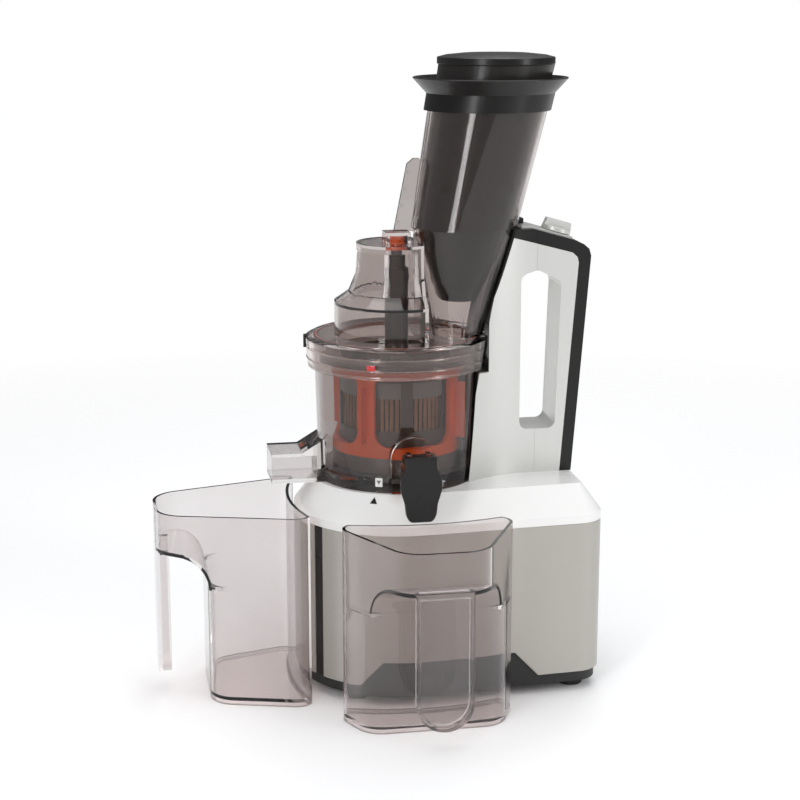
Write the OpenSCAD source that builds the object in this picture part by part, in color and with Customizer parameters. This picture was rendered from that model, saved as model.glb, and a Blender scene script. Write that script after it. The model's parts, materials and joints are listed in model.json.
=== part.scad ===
// Cold press juicer: motor base with a handle tower, lift-off bowl with strainer,
// wiper and auger, locking lid with a leaning feed chute, pusher, and two jugs.
// The bowl axis is x = 0, y = 0 in every module; on_floor() moves the whole part
// so that the origin lies under the middle of its box.

/* [Base] */
// Radius of the round front, about the bowl axis
base_r = 76; // [72:1:82]
// Distance from the bowl axis to the rear wall
base_back = 142; // [136:1:150]
// Half width of the base at the rear
rear_half = 68; // [60:1:72]
// Corner radius at the rear
rear_r = 20; // [18:1:30]
// Thickness of the side panels
panel_t = 2.5; // [2:0.1:3.5]
// Height of the rubber feet
foot_h = 7; // [5:1:12]
// Radius of a rubber foot
foot_r = 9; // [7:0.5:11]
// Height of the lower edge of the side panels
panel_bottom = 15; // [13:1:18]
// Height where the panels meet the top shell
base_top = 128; // [126:1:134]
// Straight lip at the edge of the top shell
shell_lip = 6; // [4:0.5:8]
// Height of the deck that the bowl stands on
deck_z = 154; // [150:1:160]
// How far the shoulder slopes in from the edge to the deck
shoulder_in = 15; // [12:0.5:17]
// Wall of the top shell and the tray
shell_t = 3; // [2.5:0.1:3.5]
// Height of the kick recess in the side panels
kick_top = 34; // [28:1:40]
// Angle of the seam strips from the front direction
seam_angle = 32; // [28:1:40]
// Width of a seam strip
seam_w = 9; // [6:0.5:12]

/* [Tower] */
// Thickness of the handle tower
tower_t = 36; // [34:1:42]
// Thickness of a tower side cover
cover_t = 3; // [2.5:0.1:4]
// Height of the top edge of the tower
tower_top = 334; // [332:1:342]
// Rearmost reach of the tower
tower_back = 140; // [138:1:146]
// Radius of the flare that wraps the tower round the bowl
flare_r = 83; // [80:1:92]
// Width of the black border round the side covers
border = 9; // [7:0.5:11]
// Front edge of the hand slot
slot_front = 88; // [86:1:92]
// Rear edge of the hand slot at its top
slot_back = 118; // [114:1:120]
// Lower edge of the hand slot
slot_bottom = 187; // [180:1:195]
// Upper edge of the hand slot
slot_top = 304; // [296:1:308]
// Lining wall of the hand slot
slot_wall = 2; // [1.5:0.1:2.5]
// Radius of the switch knob
knob_r = 11; // [9:0.5:12]
// Height of the switch knob
knob_h = 8; // [6:0.5:10]

/* [Bowl] */
// Outer radius of the bowl at its rim
bowl_r = 60; // [59:0.5:61]
// How much narrower the bowl is at its foot
bowl_taper = 2.5; // [1.5:0.1:3]
// Wall of the bowl
bowl_t = 2.8; // [2.2:0.1:3]
// Height of the bowl from the deck to its rim
bowl_h = 102; // [100:1:108]
// Thickness of the bowl's bottom, with the pulp channel in it
bowl_floor = 10.5; // [10:0.5:12]
// Length of the pulp spout from the bowl axis
pulp_reach = 94; // [90:1:96]
// Width of the pulp spout
pulp_w = 34; // [30:1:38]
// Height of the pulp spout
pulp_h = 22; // [20:1:26]
// Length of the juice spout from the bowl axis
juice_reach = 92; // [90:1:94]
// Bore radius of the juice spout
juice_r = 7.5; // [6.5:0.5:8]
// Radius of the smart cap
cap_r = 14.6; // [13.5:0.1:16]
// Thickness of the smart cap
cap_t = 5.5; // [4.5:0.5:6.5]

/* [Drive in the bowl] */
// Gear module of the bowl gears
bowl_m = 1.5; // [1.4:0.05:1.5]
// Teeth of the gear under the auger
auger_n = 24; // [24:8:24]
// Teeth of an idler gear
idler_n = 16; // [16:4:16]
// Face height of the bowl gears
bowl_gear_h = 8.5; // [7:0.5:9]
// Outer radius of the wiper frame
wiper_r = 46.8; // [46.5:0.1:47.5]
// Outer radius of the strainer
strainer_r = 41.6; // [41:0.1:42]
// Across flats of the drive hexagon
hex_af = 12; // [10:0.5:12]

/* [Lid] */
// Wall of the lid collar round the bowl's rim
collar_t = 5.7; // [4.5:0.1:5.9]
// Depth of the lid collar below the lid plate
collar_h = 19.5; // [16:0.5:22]
// Outer radius of the hat disc
hat_r = 29; // [27:0.5:30]
// Height of the hat above the lid plate
hat_h = 66; // [60:1:70]
// Wall of the clear parts of the lid
lid_t = 2.5; // [2:0.1:3]
// Lean of the feed chute from upright, in degrees
chute_lean = 11.2; // [9:0.1:12]
// Inner radius of the chute at its top
chute_r = 40; // [38:0.5:40.5]
// Inner radius of the chute where the funnel starts
chute_low_r = 35.2; // [34:0.2:36]
// Height of the top end of the chute
chute_top = 430; // [420:1:440]
// Radius of the hopper rim
hopper_r = 55.5; // [53:0.5:58]

/* [Pusher] */
// Wall of the pusher
pusher_t = 2.2; // [1.8:0.1:3]
// Radius of the pusher cap
cap_disc_r = 42; // [41.5:0.5:44]

/* [Jugs] */
// Height of both jugs
jug_h = 140; // [130:1:141]
// Wall of both jugs
jug_t = 2.2; // [1.8:0.1:3]
// Width of the pulp jug
pulp_jug_w = 112; // [100:1:120]
// Length of the pulp jug along its handle
pulp_jug_d = 109; // [104:1:114]
// Width of the juice jug
juice_jug_w = 120; // [110:1:126]
// Length of the juice jug along its handle
juice_jug_d = 78; // [74:1:96]
// Depth of the hollow end that hugs the base
jug_notch = 10; // [8:0.5:12]
// Length of the rim that hangs over the handle
jug_over = 36; // [32:1:38]
// Width of a jug's handle end, as a share of the end by the base
nose_share = 0.62; // [0.55:0.01:0.8]
// Width of the handle plate
handle_w = 39; // [30:1:44]

/* [Fits] */
// Sliding clearance between lift-off parts
slide = 0.5; // [0.4:0.05:0.6]
// Radial clearance of running bores
run = 0.05; // [0.03:0.01:0.08]
// Clearance between cut parts that are fixed together
seam = 0.1; // [0.05:0.05:0.2]
// Backlash of the gears at the pitch circle
backlash = 0.16; // [0.12:0.02:0.24]

/* [Hidden] */

$fn = 96;
eps = 0.01;
big = 400;

// Colours as the photo shows them
c_black = "#2b2a28";
c_white = "#f0efec";
c_silver = "#d9dad3";
c_panel = "#b3b0a8";
c_smoke = [0.55, 0.51, 0.50, 0.55];
c_clear = [0.80, 0.79, 0.80, 0.45];
c_orange = "#e2531b";
c_steel = "#a9adb0";

// Base
tray_top = kick_top + 3;
kick_back = 50;
rear_gap = 32;
gland_r = 6;
gland_out = 1.5;
gland_z = 28;
panel_gap = 0.1;
stud_r = 3;
stud_at = 45;
stud_h = 3;
neck_r = 16;
neck_h = 4;

shoulder_drop = deck_z - base_top - shell_lip;
deck_edge_r = base_r - shoulder_in;
mark_angle = -114.6;

// Tower outline in the x-z plane
way = 2;
tower_foot_x = 38;
tower_front_top = 77;
top_flat_x = 97;
top_slope = 16;
tower_foot_back = base_back - shoulder_in + 1;
tower_half = tower_t / 2;
core_half = tower_half - cover_t;
top_end_x = tower_back - 11;
top_end_z = tower_top - (top_end_x - top_flat_x) * tan(top_slope);
knob_x = (top_flat_x + top_end_x) / 2 + 4;
knob_z = tower_top - (knob_x - top_flat_x) * tan(top_slope);
plate_t = 1.6;
plate_w = 25;
module_r = 9.5;
module_h = 14;
stem_r = 3;

// Bowl and what turns in it
bowl_foot_r = bowl_r - bowl_taper;
floor_z = deck_z + bowl_floor;
rim_z = deck_z + bowl_h;
gear_top = floor_z + bowl_gear_h;
strainer_z = gear_top + 2.5;
channel_z = deck_z + 2.5;
channel_h = 5.5;
channel_half = 7.5;
chimney_x = 23;
chimney_l = 14.5;
mark_reach = 5; // the marks' seats are cut right through the surface they sit in
bowl_mark_angle = -112.7;
function bowl_r_at(z) = bowl_foot_r + (bowl_r - bowl_foot_r) * (z - deck_z) / bowl_h;
spout_z = floor_z + juice_r - 0.5;
spout_t = 3;
boss_r = 15.2;
auger_pr = bowl_m * auger_n / 2;
idler_pr = bowl_m * idler_n / 2;
ring_n = auger_n + 2 * idler_n;
ring_pr = bowl_m * ring_n / 2;
idler_at = auger_pr + idler_pr;
pin_r = 3;
pin_tip_r = 1.5;
seal_r = 9;
wiper_in = 43.3;
mesh_in = 39.4;
mesh_t = 0.6;
strainer_top = rim_z - 10;
wiper_top = strainer_top - 6;
auger_shaft_r = 8.5;
top_pin_r = 4;
hinge_z = spout_z + juice_r + spout_t + 5;
hinge_y = -juice_reach + 5;
hinge_r = 3.2;
hinge_pin_r = 1.2;
cap_y = -juice_reach - 0.8;
cap_tongue_r = cap_r - 3.6;

// Base gear train
stage1_m = 1;
pinion1_n = 12;
gear1_n = 60;
stage2_m = 1.25;
pinion2_n = 14;
gear2_n = 58;
mid_x = stage2_m * (pinion2_n + gear2_n) / 2;
motor_x = mid_x + stage1_m * (pinion1_n + gear1_n) / 2;
box_top = deck_z - 18;
box_floor = box_top - 31;
gear1_z = box_floor + 2.5;
gear1_h = 7;
gear2_z = gear1_z + gear1_h + 3;
gear2_h = 10;
motor_r = 36;
motor_h = 62;
spindle_r = 6;
bearing_r = 13;
bearing_h = 8;

// Lid
lid_r = bowl_r + slide + collar_t;
plate_top = rim_z + 3;
hat_top = rim_z + hat_h + 3;
tan_lean = tan(chute_lean);
// The chute axis passes over the lid at this x for a height z
function chute_x(z) = 48.6 + (z - 333) * tan_lean;
funnel_z = 335;
way_foot = 268; // the tower is cut back for the chute from here up
funnel_step = 0.3;
mouth_x = 41;
mouth_half = 12;
mouth_r = 13.5;
hopper_top = chute_top + 11;
hopper_foot = chute_top - 12;

// Pusher
stop_h = 3;
nose_z = 284;
disc_z = hopper_top + 9;

// Jugs
juice_jug_back = -78;
juice_jug_x = 6;
pulp_jug_back = -70;
pulp_jug_y = -6;
jug_floor_t = 3;
jug_foot_h = 2.5;
jug_foot_t = 3.5;
jug_nose_r = 24;
jug_body_r = 20;
jug_horn_r = 12;
// The body under the rim keeps to the rim's flanks
function body_share(d) = nose_share + (1 - nose_share) * (jug_over - jug_nose_r + jug_body_r)
    / (d - jug_nose_r - jug_horn_r);
plate_low = 14;

// Origin under the middle of the box
shift_x = -(pulp_jug_back - pulp_jug_d + max(tower_back, base_back + gland_out)) / 2;
shift_y = -(juice_jug_back - juice_jug_d + base_r) / 2;

module on_floor() translate([shift_x, shift_y, 0]) children();

// ---------- helpers ----------

// Flat tube between two heights
module tube(r_out, r_in, z0, z1) translate([0, 0, z0])
    difference() {
        cylinder(r = r_out, h = z1 - z0);
        translate([0, 0, -1]) cylinder(r = r_in, h = z1 - z0 + 2);
    }

// Outline of the base seen from above, drawn in by inset
module plan(inset = 0) hull() {
    circle(r = base_r - inset, $fn = 72);
    for (s = [-1, 1])
        translate([base_back - rear_r, s * (rear_half - rear_r)])
            circle(r = rear_r - inset, $fn = 32);
}

// Outline in the x-z plane made into a plate of width w about y = 0
module side_plate(w) translate([0, w / 2, 0]) rotate([90, 0, 0])
    linear_extrude(w) children();

// Angle of an involute at radius r over base radius rb, in degrees
function inv_deg(r, rb) = r <= rb ? 0 : tan(acos(rb / r)) * 180 / PI - acos(rb / r);

// Gear outline: m module, n teeth, slack thins each tooth at the pitch circle
module gear2d(m, n, slack, head = 1, foot = 1.25) {
    pressure = 25;
    pr = m * n / 2;
    rb = pr * cos(pressure);
    ra = pr + head * m;
    rr = pr - foot * m;
    half = 90 / n - (slack / 2 / pr) * 180 / PI + inv_deg(pr, rb);
    r0 = max(rb, rr);
    steps = 4;
    flank = [for (i = [0:steps]) let (r = r0 + (ra - r0) * i / steps) [r, half - inv_deg(r, rb)]];
    pts = [for (t = [0:n - 1]) let (c = 360 * t / n) each concat(
        [[rr * cos(c - flank[0][1]), rr * sin(c - flank[0][1])]],
        [for (p = flank) [p[0] * cos(c - p[1]), p[0] * sin(c - p[1])]],
        [for (i = [steps:-1:0]) [flank[i][0] * cos(c + flank[i][1]), flank[i][0] * sin(c + flank[i][1])]],
        [[rr * cos(c + flank[0][1]), rr * sin(c + flank[0][1])]])];
    polygon(pts);
}

// ---------- base ----------

module bottom_tray() color(c_black) difference() {
    translate([0, 0, foot_h]) linear_extrude(tray_top - foot_h) plan(panel_t + panel_gap);
    translate([0, 0, foot_h + shell_t]) linear_extrude(big)
        plan(panel_t + panel_gap + shell_t);
    for (p = feet_at) translate([p[0], p[1], 0]) cylinder(r = 2.2, h = big);
    translate([base_back - 12, 0, gland_z]) rotate([0, 90, 0]) cylinder(r = gland_r + 2.5, h = 20);
}

feet_at = [[-38, -44], [-38, 44], [base_back - 20, -rear_half + 20], [base_back - 20, rear_half - 20]];

module rubber_feet() color(c_black) for (p = feet_at) translate([p[0], p[1], 0])
    difference() {
        cylinder(r = foot_r, h = foot_h);
        translate([0, 0, -1]) cylinder(r = 4.5, h = 4);
        cylinder(r = 2.2, h = big);
    }

module foot_screws() color(c_steel) for (p = feet_at) translate([p[0], p[1], 0]) {
    translate([0, 0, 0.8]) cylinder(r = 4, h = 2.2);
    translate([0, 0, 3]) cylinder(r = 2, h = foot_h + shell_t + 6);
}

module wall_ring(depth = panel_t) difference() {
    plan(0);
    plan(depth);
}

// Wedge about the front direction, widened by w on each side
module front_wedge(w) {
    reach = 2 * base_r;
    polygon([[0, 0], [-reach * cos(seam_angle), -reach * sin(seam_angle)],
        [-reach, -reach * sin(seam_angle)], [-reach, reach * sin(seam_angle)],
        [-reach * cos(seam_angle), reach * sin(seam_angle)]]);
    for (s = [-1, 1]) rotate(180 + s * seam_angle) translate([0, -w]) square([reach, 2 * w]);
}

module kick() {
    foot_in = 18;
    side_plate(big) polygon([[-40, 0], [-40, panel_bottom], [-40 + foot_in, kick_top],
        [base_back - kick_back - foot_in, kick_top], [base_back - kick_back, panel_bottom],
        [base_back - kick_back, 0]]);
}

panel_h = base_top - panel_bottom;

module front_panel() color(c_panel) translate([0, 0, panel_bottom])
    linear_extrude(panel_h) difference() {
        intersection() {
            wall_ring();
            front_wedge(eps);
        }
        for (s = [-1, 1]) rotate(180 + s * seam_angle)
            translate([0, -seam_w / 2]) square([big, seam_w]);
    }

module side_panel(s) difference() {
    translate([0, 0, panel_bottom]) linear_extrude(panel_h) difference() {
        wall_ring();
        front_wedge(seam_w / 2);
        translate([-big / 2, s > 0 ? -big : 0]) square([big, big]);
        translate([base_back - rear_r, -rear_gap / 2]) square([big, rear_gap]);
    }
    kick();
}

module near_panel() color(c_panel) side_panel(-1);
module far_panel() color(c_panel) side_panel(1);

module seam_strips() color(c_black) for (s = [-1, 1])
    translate([0, 0, panel_bottom]) linear_extrude(panel_h) intersection() {
        difference() {
            plan(0.7);
            plan(panel_t + seam);
        }
        rotate(180 + s * seam_angle) translate([0, -seam_w / 2 + seam])
            square([big, seam_w - 2 * seam]);
    }

module rear_panel() color(c_black) difference() {
    translate([0, 0, panel_bottom]) linear_extrude(panel_h) intersection() {
        wall_ring();
        translate([base_back - rear_r, -rear_gap / 2 + seam]) square([big, rear_gap - 2 * seam]);
    }
    translate([base_back - 10, 0, gland_z]) rotate([0, 90, 0]) cylinder(r = gland_r, h = 20);
    for (i = [0:5]) translate([base_back - 10, -10, 60 + 8 * i]) cube([20, 20, 3]);
}

module cord_gland() color(c_black) translate([base_back, 0, gland_z]) rotate([0, 90, 0])
    difference() {
        union() {
            translate([0, 0, -8]) cylinder(r = gland_r - seam / 2, h = 8 + gland_out);
            cylinder(r = gland_r + 2, h = gland_out);
            translate([0, 0, -8]) cylinder(r = gland_r + 2, h = 8 - panel_t - seam / 2);
        }
        translate([0, 0, -10]) cylinder(r = 3.2, h = 20);
    }

module shell_form(inset, top) hull() {
    linear_extrude(shell_lip) plan(inset);
    translate([0, 0, top - base_top - eps]) linear_extrude(eps) plan(shoulder_in + inset);
}

module top_shell() color(c_white) difference() {
    union() {
        translate([0, 0, base_top]) difference() {
            shell_form(0, deck_z);
            translate([0, 0, -eps]) shell_form(shell_t, deck_z - shell_t);
        }
        for (p = box_screws) translate([p[0], p[1], box_top])
            cylinder(r = 4.5, h = deck_z - shell_t - box_top + 0.5);
        for (a = [60, 300]) rotate(a) translate([stud_at, 0, deck_z - 1])
            cylinder(r = stud_r, h = stud_h + 1);
    }
    mark_on_shoulder() mark_outline(seam / 2);
    cylinder(r = neck_r + seam, h = big);
    translate([92, 0, 0]) cylinder(r = 8, h = big);
    for (p = box_screws) translate([p[0], p[1], 0]) cylinder(r = 1.6, h = deck_z - 4);
}

// Flat place on the shoulder for the lock mark, facing the user
module mark_on_shoulder() rotate(mark_angle)
    translate([deck_edge_r + 3, 0, deck_z - 3 * shoulder_drop / shoulder_in])
        rotate([0, atan(shoulder_drop / shoulder_in), 0]) translate([0, 0, -0.8]) children();

module mark_outline(g) linear_extrude(0.9) polygon([[-2.6 - 2 * g, 0], [2.4 + g, 2.6 + 2 * g],
    [2.4 + g, -2.6 - 2 * g]]);

module deck_mark() color(c_black) mark_on_shoulder() mark_outline(0);

// ---------- tower ----------

// Outline of the tower seen from above; the front flares round the bowl
module tower_plan(half) {
    x0 = 100;
    translate([x0, -half]) square([big, 2 * half]);
    difference() {
        translate([tower_foot_x - 8, -56]) square([x0 - tower_foot_x + 8 + eps, 112]);
        for (s = [-1, 1]) translate([x0, s * (half + flare_r - 0.3)])
            circle(r = flare_r, $fn = 180);
    }
}

module core_profile() polygon([
    [tower_foot_x, deck_z], [tower_front_top, tower_top], [top_flat_x, tower_top],
    [top_end_x, top_end_z], [top_end_x + 5.5, top_end_z - 2.6], [tower_back - 1.5, top_end_z - 6],
    [tower_back, top_end_z - 11], [tower_foot_back, deck_z]]);

module cover_profile() intersection() {
    core_profile();
    polygon([[0, deck_z - 1], [0, tower_top - 4], [tower_front_top, tower_top - 4.5], [top_end_x - 3, top_end_z - border + 0.6], [top_end_x + 0.5, top_end_z - border - 2.6],
    [top_end_x + 1.6, top_end_z - border - 6.5], [tower_foot_back - border, deck_z - 1]]);
}

// Hand slot with round corners, grown by g
module slot_profile(g) {
    r = 6;
    hull() {
        translate([slot_front + r, slot_bottom + r]) circle(r = r + g, $fn = 32);
        translate([slot_back - 3 - r, slot_bottom + r]) circle(r = r + g, $fn = 32);
        translate([slot_front + r, slot_top - 2 - r]) circle(r = r + g, $fn = 32);
        translate([slot_front + 2 * r, slot_top - r]) circle(r = r + g, $fn = 32);
        translate([slot_back - r, slot_top - 6 - r]) circle(r = r + g, $fn = 32);
    }
}

// What the bowl, the lid and the chute need when they lift off
module bowl_way() {
    low = rim_z - collar_h - 4;
    translate([0, 0, deck_z]) cylinder(r1 = bowl_foot_r + way, r2 = bowl_r + way, h = low - deck_z);
    translate([0, 0, deck_z - 1]) cylinder(r = bowl_foot_r + way, h = 2);
    translate([0, 0, low - eps]) cylinder(r = lid_r + way, h = big);
    translate([chute_x(way_foot), 0, way_foot]) rotate([0, chute_lean, 0])
        cylinder(r1 = chute_low_r + lid_t - 2.7, r2 = chute_low_r + lid_t + 3.3, h = 103);
}

module tower_core() color(c_black) difference() {
    union() {
        intersection() {
            linear_extrude(big) tower_plan(core_half);
            side_plate(big) core_profile();
        }
        intersection() {
            linear_extrude(big) tower_plan(tower_half - 0.6);
            side_plate(big) difference() {
                core_profile();
                cover_profile();
            }
        }
    }
    bowl_way();
    side_plate(big) slot_profile(slot_wall);
    translate([92, 0, deck_z - 1]) cylinder(r = 8, h = 22);
    translate([knob_x, 0, knob_z]) rotate([0, top_slope, 0])
        translate([0, 0, -module_h - 1]) cylinder(r = module_r + seam, h = module_h + 8);
}

module tower_cover(s) difference() {
    union() {
        intersection() {
            difference() {
                linear_extrude(big) tower_plan(tower_half);
                linear_extrude(big) tower_plan(core_half);
            }
            side_plate(big) cover_profile();
        }
        side_plate(2 * core_half) slot_profile(slot_wall);
    }
    side_plate(big) slot_profile(0);
    bowl_way();
    translate([0, s > 0 ? -big : 0, -1]) cube([big, big, 2 * big]);
}

module near_tower_cover() color(c_silver) tower_cover(-1);
module far_tower_cover() color(c_silver) tower_cover(1);

module tower_top_plate() color(c_silver) difference() {
    side_plate(plate_w) polygon([
        [tower_front_top + 12, tower_top], [tower_front_top + 12, tower_top + plate_t],
        [top_flat_x + 0.3, tower_top + plate_t], [top_end_x - 2, top_end_z + plate_t + 0.6],
        [top_end_x - 2, top_end_z + 2 * tan(top_slope)], [top_flat_x, tower_top]]);
    translate([knob_x, 0, knob_z]) rotate([0, top_slope, 0])
        translate([0, 0, -3]) cylinder(r = module_r - 2, h = 10);
}

module at_knob() translate([knob_x, 0, knob_z]) rotate([0, top_slope, 0]) children();

module switch_module() color(c_black) at_knob() difference() {
    union() {
        translate([0, 0, -module_h]) cylinder(r = module_r, h = module_h - 0.2);
        translate([0, 0, -0.3]) cylinder(r = module_r - 2.2, h = 0.4);
    }
    translate([0, 0, -8]) cylinder(r = stem_r + run, h = 20);
}

module switch_knob() color(c_silver) at_knob() difference() {
    union() {
        translate([0, 0, plate_t + 0.4]) cylinder(r1 = knob_r, r2 = knob_r - 1.2, h = knob_h);
        translate([0, 0, -7.5]) cylinder(r = stem_r, h = 10);
    }
    for (s = [-1, 1]) translate([-knob_r, s > 0 ? 3 : -knob_r - 3, plate_t + 3.4])
        cube([2 * knob_r, knob_r, knob_h]);
}

// ---------- motor and gearbox ----------

box_screws = [[-30, 30], [-30, -30], [mid_x + 8, 39], [mid_x + 8, -39]];

module box_plan(g) hull() {
    circle(r = 40 + g, $fn = 64);
    translate([mid_x, 0]) circle(r = 34 + g, $fn = 64);
    translate([motor_x, 0]) circle(r = 12 + g, $fn = 48);
}

module gearbox_base() color(c_silver) difference() {
    union() {
        difference() {
            translate([0, 0, box_floor - 4]) linear_extrude(box_top - 4 - box_floor + 4) box_plan(3);
            translate([0, 0, box_floor]) linear_extrude(big) box_plan(0);
        }
        for (p = box_screws) translate([p[0], p[1], box_floor - 4])
            cylinder(r = 4.5, h = box_top - box_floor);
        translate([0, 0, box_floor - 1]) cylinder(r = 9, h = 2);
        translate([mid_x, 0, box_floor - 1]) cylinder(r = 6, h = 2);
    }
    for (p = box_screws) translate([p[0], p[1], 0]) cylinder(r = 1.7, h = big);
    translate([motor_x, 0, 0]) cylinder(r = 5, h = big);
    translate([0, 0, box_floor - 3]) cylinder(r = spindle_r + run, h = 20);
    translate([mid_x, 0, box_floor - 3]) cylinder(r = 3 + run, h = 20);
}

module gearbox_cover() color(c_silver) difference() {
    union() {
        translate([0, 0, box_top - 4]) linear_extrude(4) box_plan(3);
        for (p = box_screws) translate([p[0], p[1], box_top - 4]) cylinder(r = 4.5, h = 4);
        translate([0, 0, box_top - 1]) cylinder(r = neck_r, h = deck_z + neck_h - box_top + 1);
        translate([mid_x, 0, box_top - 7]) cylinder(r = 6, h = 5);
    }
    for (p = box_screws) translate([p[0], p[1], 0]) cylinder(r = 1.7, h = big);
    translate([0, 0, box_top - 5]) cylinder(r = spindle_r + 1, h = big);
    translate([0, 0, box_top - 5]) cylinder(r = bearing_r, h = 5 + bearing_h);
    translate([0, 0, deck_z - 2]) cylinder(r = 11, h = 20);
    translate([mid_x, 0, box_top - 8]) cylinder(r = 3 + run, h = 6);
}

module gearbox_screws() color(c_steel) for (p = box_screws) translate([p[0], p[1], 0]) {
    translate([0, 0, box_floor - 4]) cylinder(r = 1.5, h = box_top - box_floor + 10);
    translate([0, 0, box_floor - 6.5]) cylinder(r = 3, h = 2.5);
}

module spindle_bearing() color(c_steel)
    tube(bearing_r, spindle_r + run, box_top - 4, box_top - 4 + bearing_h + 4);

module spindle_seal() color(c_orange)
    tube(11, spindle_r + run, deck_z - 2, deck_z + neck_h - 0.3);

module motor_stator() color(c_steel) translate([motor_x, 0, 0]) difference() {
    translate([0, 0, box_floor - 4 - motor_h]) cylinder(r = motor_r, h = motor_h);
    translate([0, 0, box_floor - 4 - motor_h + 3]) cylinder(r = 24, h = motor_h - 6);
    cylinder(r = 4 + run, h = big);
}

module motor_rotor() color(c_steel) translate([motor_x, 0, 0]) {
    translate([0, 0, box_floor - 4 - motor_h - 12]) cylinder(r = 4, h = motor_h + 12 + 4 + gear1_h + 8);
    translate([0, 0, box_floor - 4 - motor_h + 12]) cylinder(r = 23.2, h = motor_h - 24);
}

module cooling_fan() color(c_black) translate([motor_x, 0, box_floor - 4 - motor_h - 10]) difference() {
    union() {
        cylinder(r = 8, h = 8);
        for (a = [0:45:315]) rotate(a) translate([7, -0.8, 0]) cube([19, 1.6, 8]);
    }
    translate([0, 0, -1]) cylinder(r = 4, h = 12);
}

module motor_pinion() color(c_steel) translate([motor_x, 0, gear1_z - 1]) difference() {
    linear_extrude(gear1_h + 2) gear2d(stage1_m, pinion1_n, backlash);
    translate([0, 0, -1]) cylinder(r = 4, h = 20);
}

module intermediate_gear() color(c_steel) translate([mid_x, 0, 0]) {
    translate([0, 0, gear1_z]) rotate(180 / gear1_n)
        linear_extrude(gear1_h) gear2d(stage1_m, gear1_n, backlash);
    translate([0, 0, gear1_z + gear1_h - eps])
        linear_extrude(gear2_z + gear2_h - gear1_z - gear1_h) gear2d(stage2_m, pinion2_n, backlash);
    translate([0, 0, box_floor - 2]) cylinder(r = 3, h = gear2_z + gear2_h - box_floor + 7);
    translate([0, 0, box_floor + 1.2]) cylinder(r = 5, h = 2);
}

module output_gear() color(c_steel) difference() {
    translate([0, 0, gear2_z]) rotate(180 / gear2_n)
        linear_extrude(gear2_h) gear2d(stage2_m, gear2_n, backlash);
    cylinder(r = spindle_r, h = big);
}

module hex_bar(af, z0, z1) translate([0, 0, z0]) cylinder(r = af / sqrt(3), h = z1 - z0, $fn = 6);

module drive_spindle() color(c_steel) {
    translate([0, 0, box_floor - 2.5]) cylinder(r = spindle_r, h = deck_z + neck_h - box_floor + 2.5);
    hex_bar(hex_af, deck_z + neck_h - eps, strainer_z + 1);
    translate([0, 0, gear2_z - 2]) cylinder(r = 8.5, h = 2);
}

module control_board() color("#2f6b3a") {
    translate([-62, -26, 44]) cube([1.6, 52, 50]);
    translate([-60.4, -12, 52]) cube([14, 20, 14]);
    translate([-60.4, -20, 76]) cube([9, 12, 9]);
    translate([-60.4, 4, 74]) cube([11, 14, 12]);
    for (s = [-1, 1]) translate([-62, s * 22 - 2, foot_h + shell_t])
        cube([4, 4, 38]);
}

// ---------- bowl ----------

module bowl() color(c_smoke) difference() {
    union() {
        rotate_extrude() polygon([[0, deck_z], [bowl_foot_r, deck_z], [bowl_r, rim_z], [0, rim_z]]);
        translate([-pulp_reach, -pulp_w / 2, deck_z]) cube([pulp_reach - bowl_foot_r + 8, pulp_w, pulp_h]);
        side_plate(pulp_w) polygon([[-bowl_foot_r - 16, deck_z + pulp_h - 1],
            [-bowl_foot_r + 4, deck_z + pulp_h + 11], [-bowl_foot_r + 4, deck_z + pulp_h - 1]]);
        // juice spout: upright boss, pipe and hinge ears
        translate([-boss_r, -bowl_foot_r - 8, deck_z + 2])
            cube([2 * boss_r, 20, spout_z + 9 - deck_z - 2]);
        translate([0, -bowl_foot_r + 12, spout_z + 9]) rotate([90, 0, 0])
            cylinder(r = boss_r + 0.3, h = 20);
        translate([0, -bowl_foot_r, spout_z]) rotate([90, 0, 0])
            cylinder(r = juice_r + spout_t, h = juice_reach - bowl_foot_r);
        for (s = [-1, 1]) translate([s * 7 - 1.75, hinge_y - hinge_r, spout_z + 4])
            cube([3.5, 2 * hinge_r + 3, hinge_z + hinge_r - spout_z - 4]);
    }
    // inside of the bowl, round the chimney
    difference() {
        rotate_extrude() polygon([[0, floor_z], [bowl_r_at(floor_z) - bowl_t, floor_z],
            [bowl_r - bowl_t, rim_z + eps], [0, rim_z + eps]]);
        translate([-chimney_x - chimney_l - bowl_t / 2, -channel_half - bowl_t / 2, floor_z - 1])
            cube([chimney_l + bowl_t, 2 * channel_half + bowl_t, strainer_z - floor_z + 1]);
    }
    // centre bore, neck recess and stud holes
    translate([0, 0, deck_z - 1]) cylinder(r = seal_r, h = bowl_floor + 2);
    translate([0, 0, deck_z - 1]) cylinder(r = neck_r + slide, h = neck_h + 1 + 0.5);
    for (a = [60, 300]) rotate(a) translate([stud_at, 0, deck_z - 1])
        cylinder(r = stud_r + slide, h = stud_h + 1.6);
    // pulp channel, from the strainer's hole under the ring to the spout
    translate([-pulp_reach - 1, -channel_half, channel_z])
        cube([pulp_reach + 1 - chimney_x, 2 * channel_half, channel_h]);
    translate([-chimney_x - chimney_l, -channel_half, channel_z])
        cube([chimney_l, 2 * channel_half, strainer_z + 1 - channel_z]);
    translate([-pulp_reach - 1, -pulp_w / 2 + bowl_t, channel_z])
        cube([pulp_reach - bowl_r, pulp_w - 2 * bowl_t, pulp_h - bowl_t - 2.5]);
    // juice way
    translate([0, -40, spout_z]) rotate([90, 0, 0]) cylinder(r = juice_r, h = 80);
    // idler pins
    for (s = [-1, 1]) translate([0, s * idler_at, floor_z - 6]) cylinder(r = pin_r, h = 10);
    translate([0, hinge_y, hinge_z]) rotate([0, 90, 0]) cylinder(r = hinge_pin_r, h = 60, center = true);
    // seat of the channel plug in the underside
    translate([-34, -5, deck_z - 1]) cube([12, 10, channel_z - deck_z + 2]);
    // seat of the front mark
    mark_seat(seam / 2);
}

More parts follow.
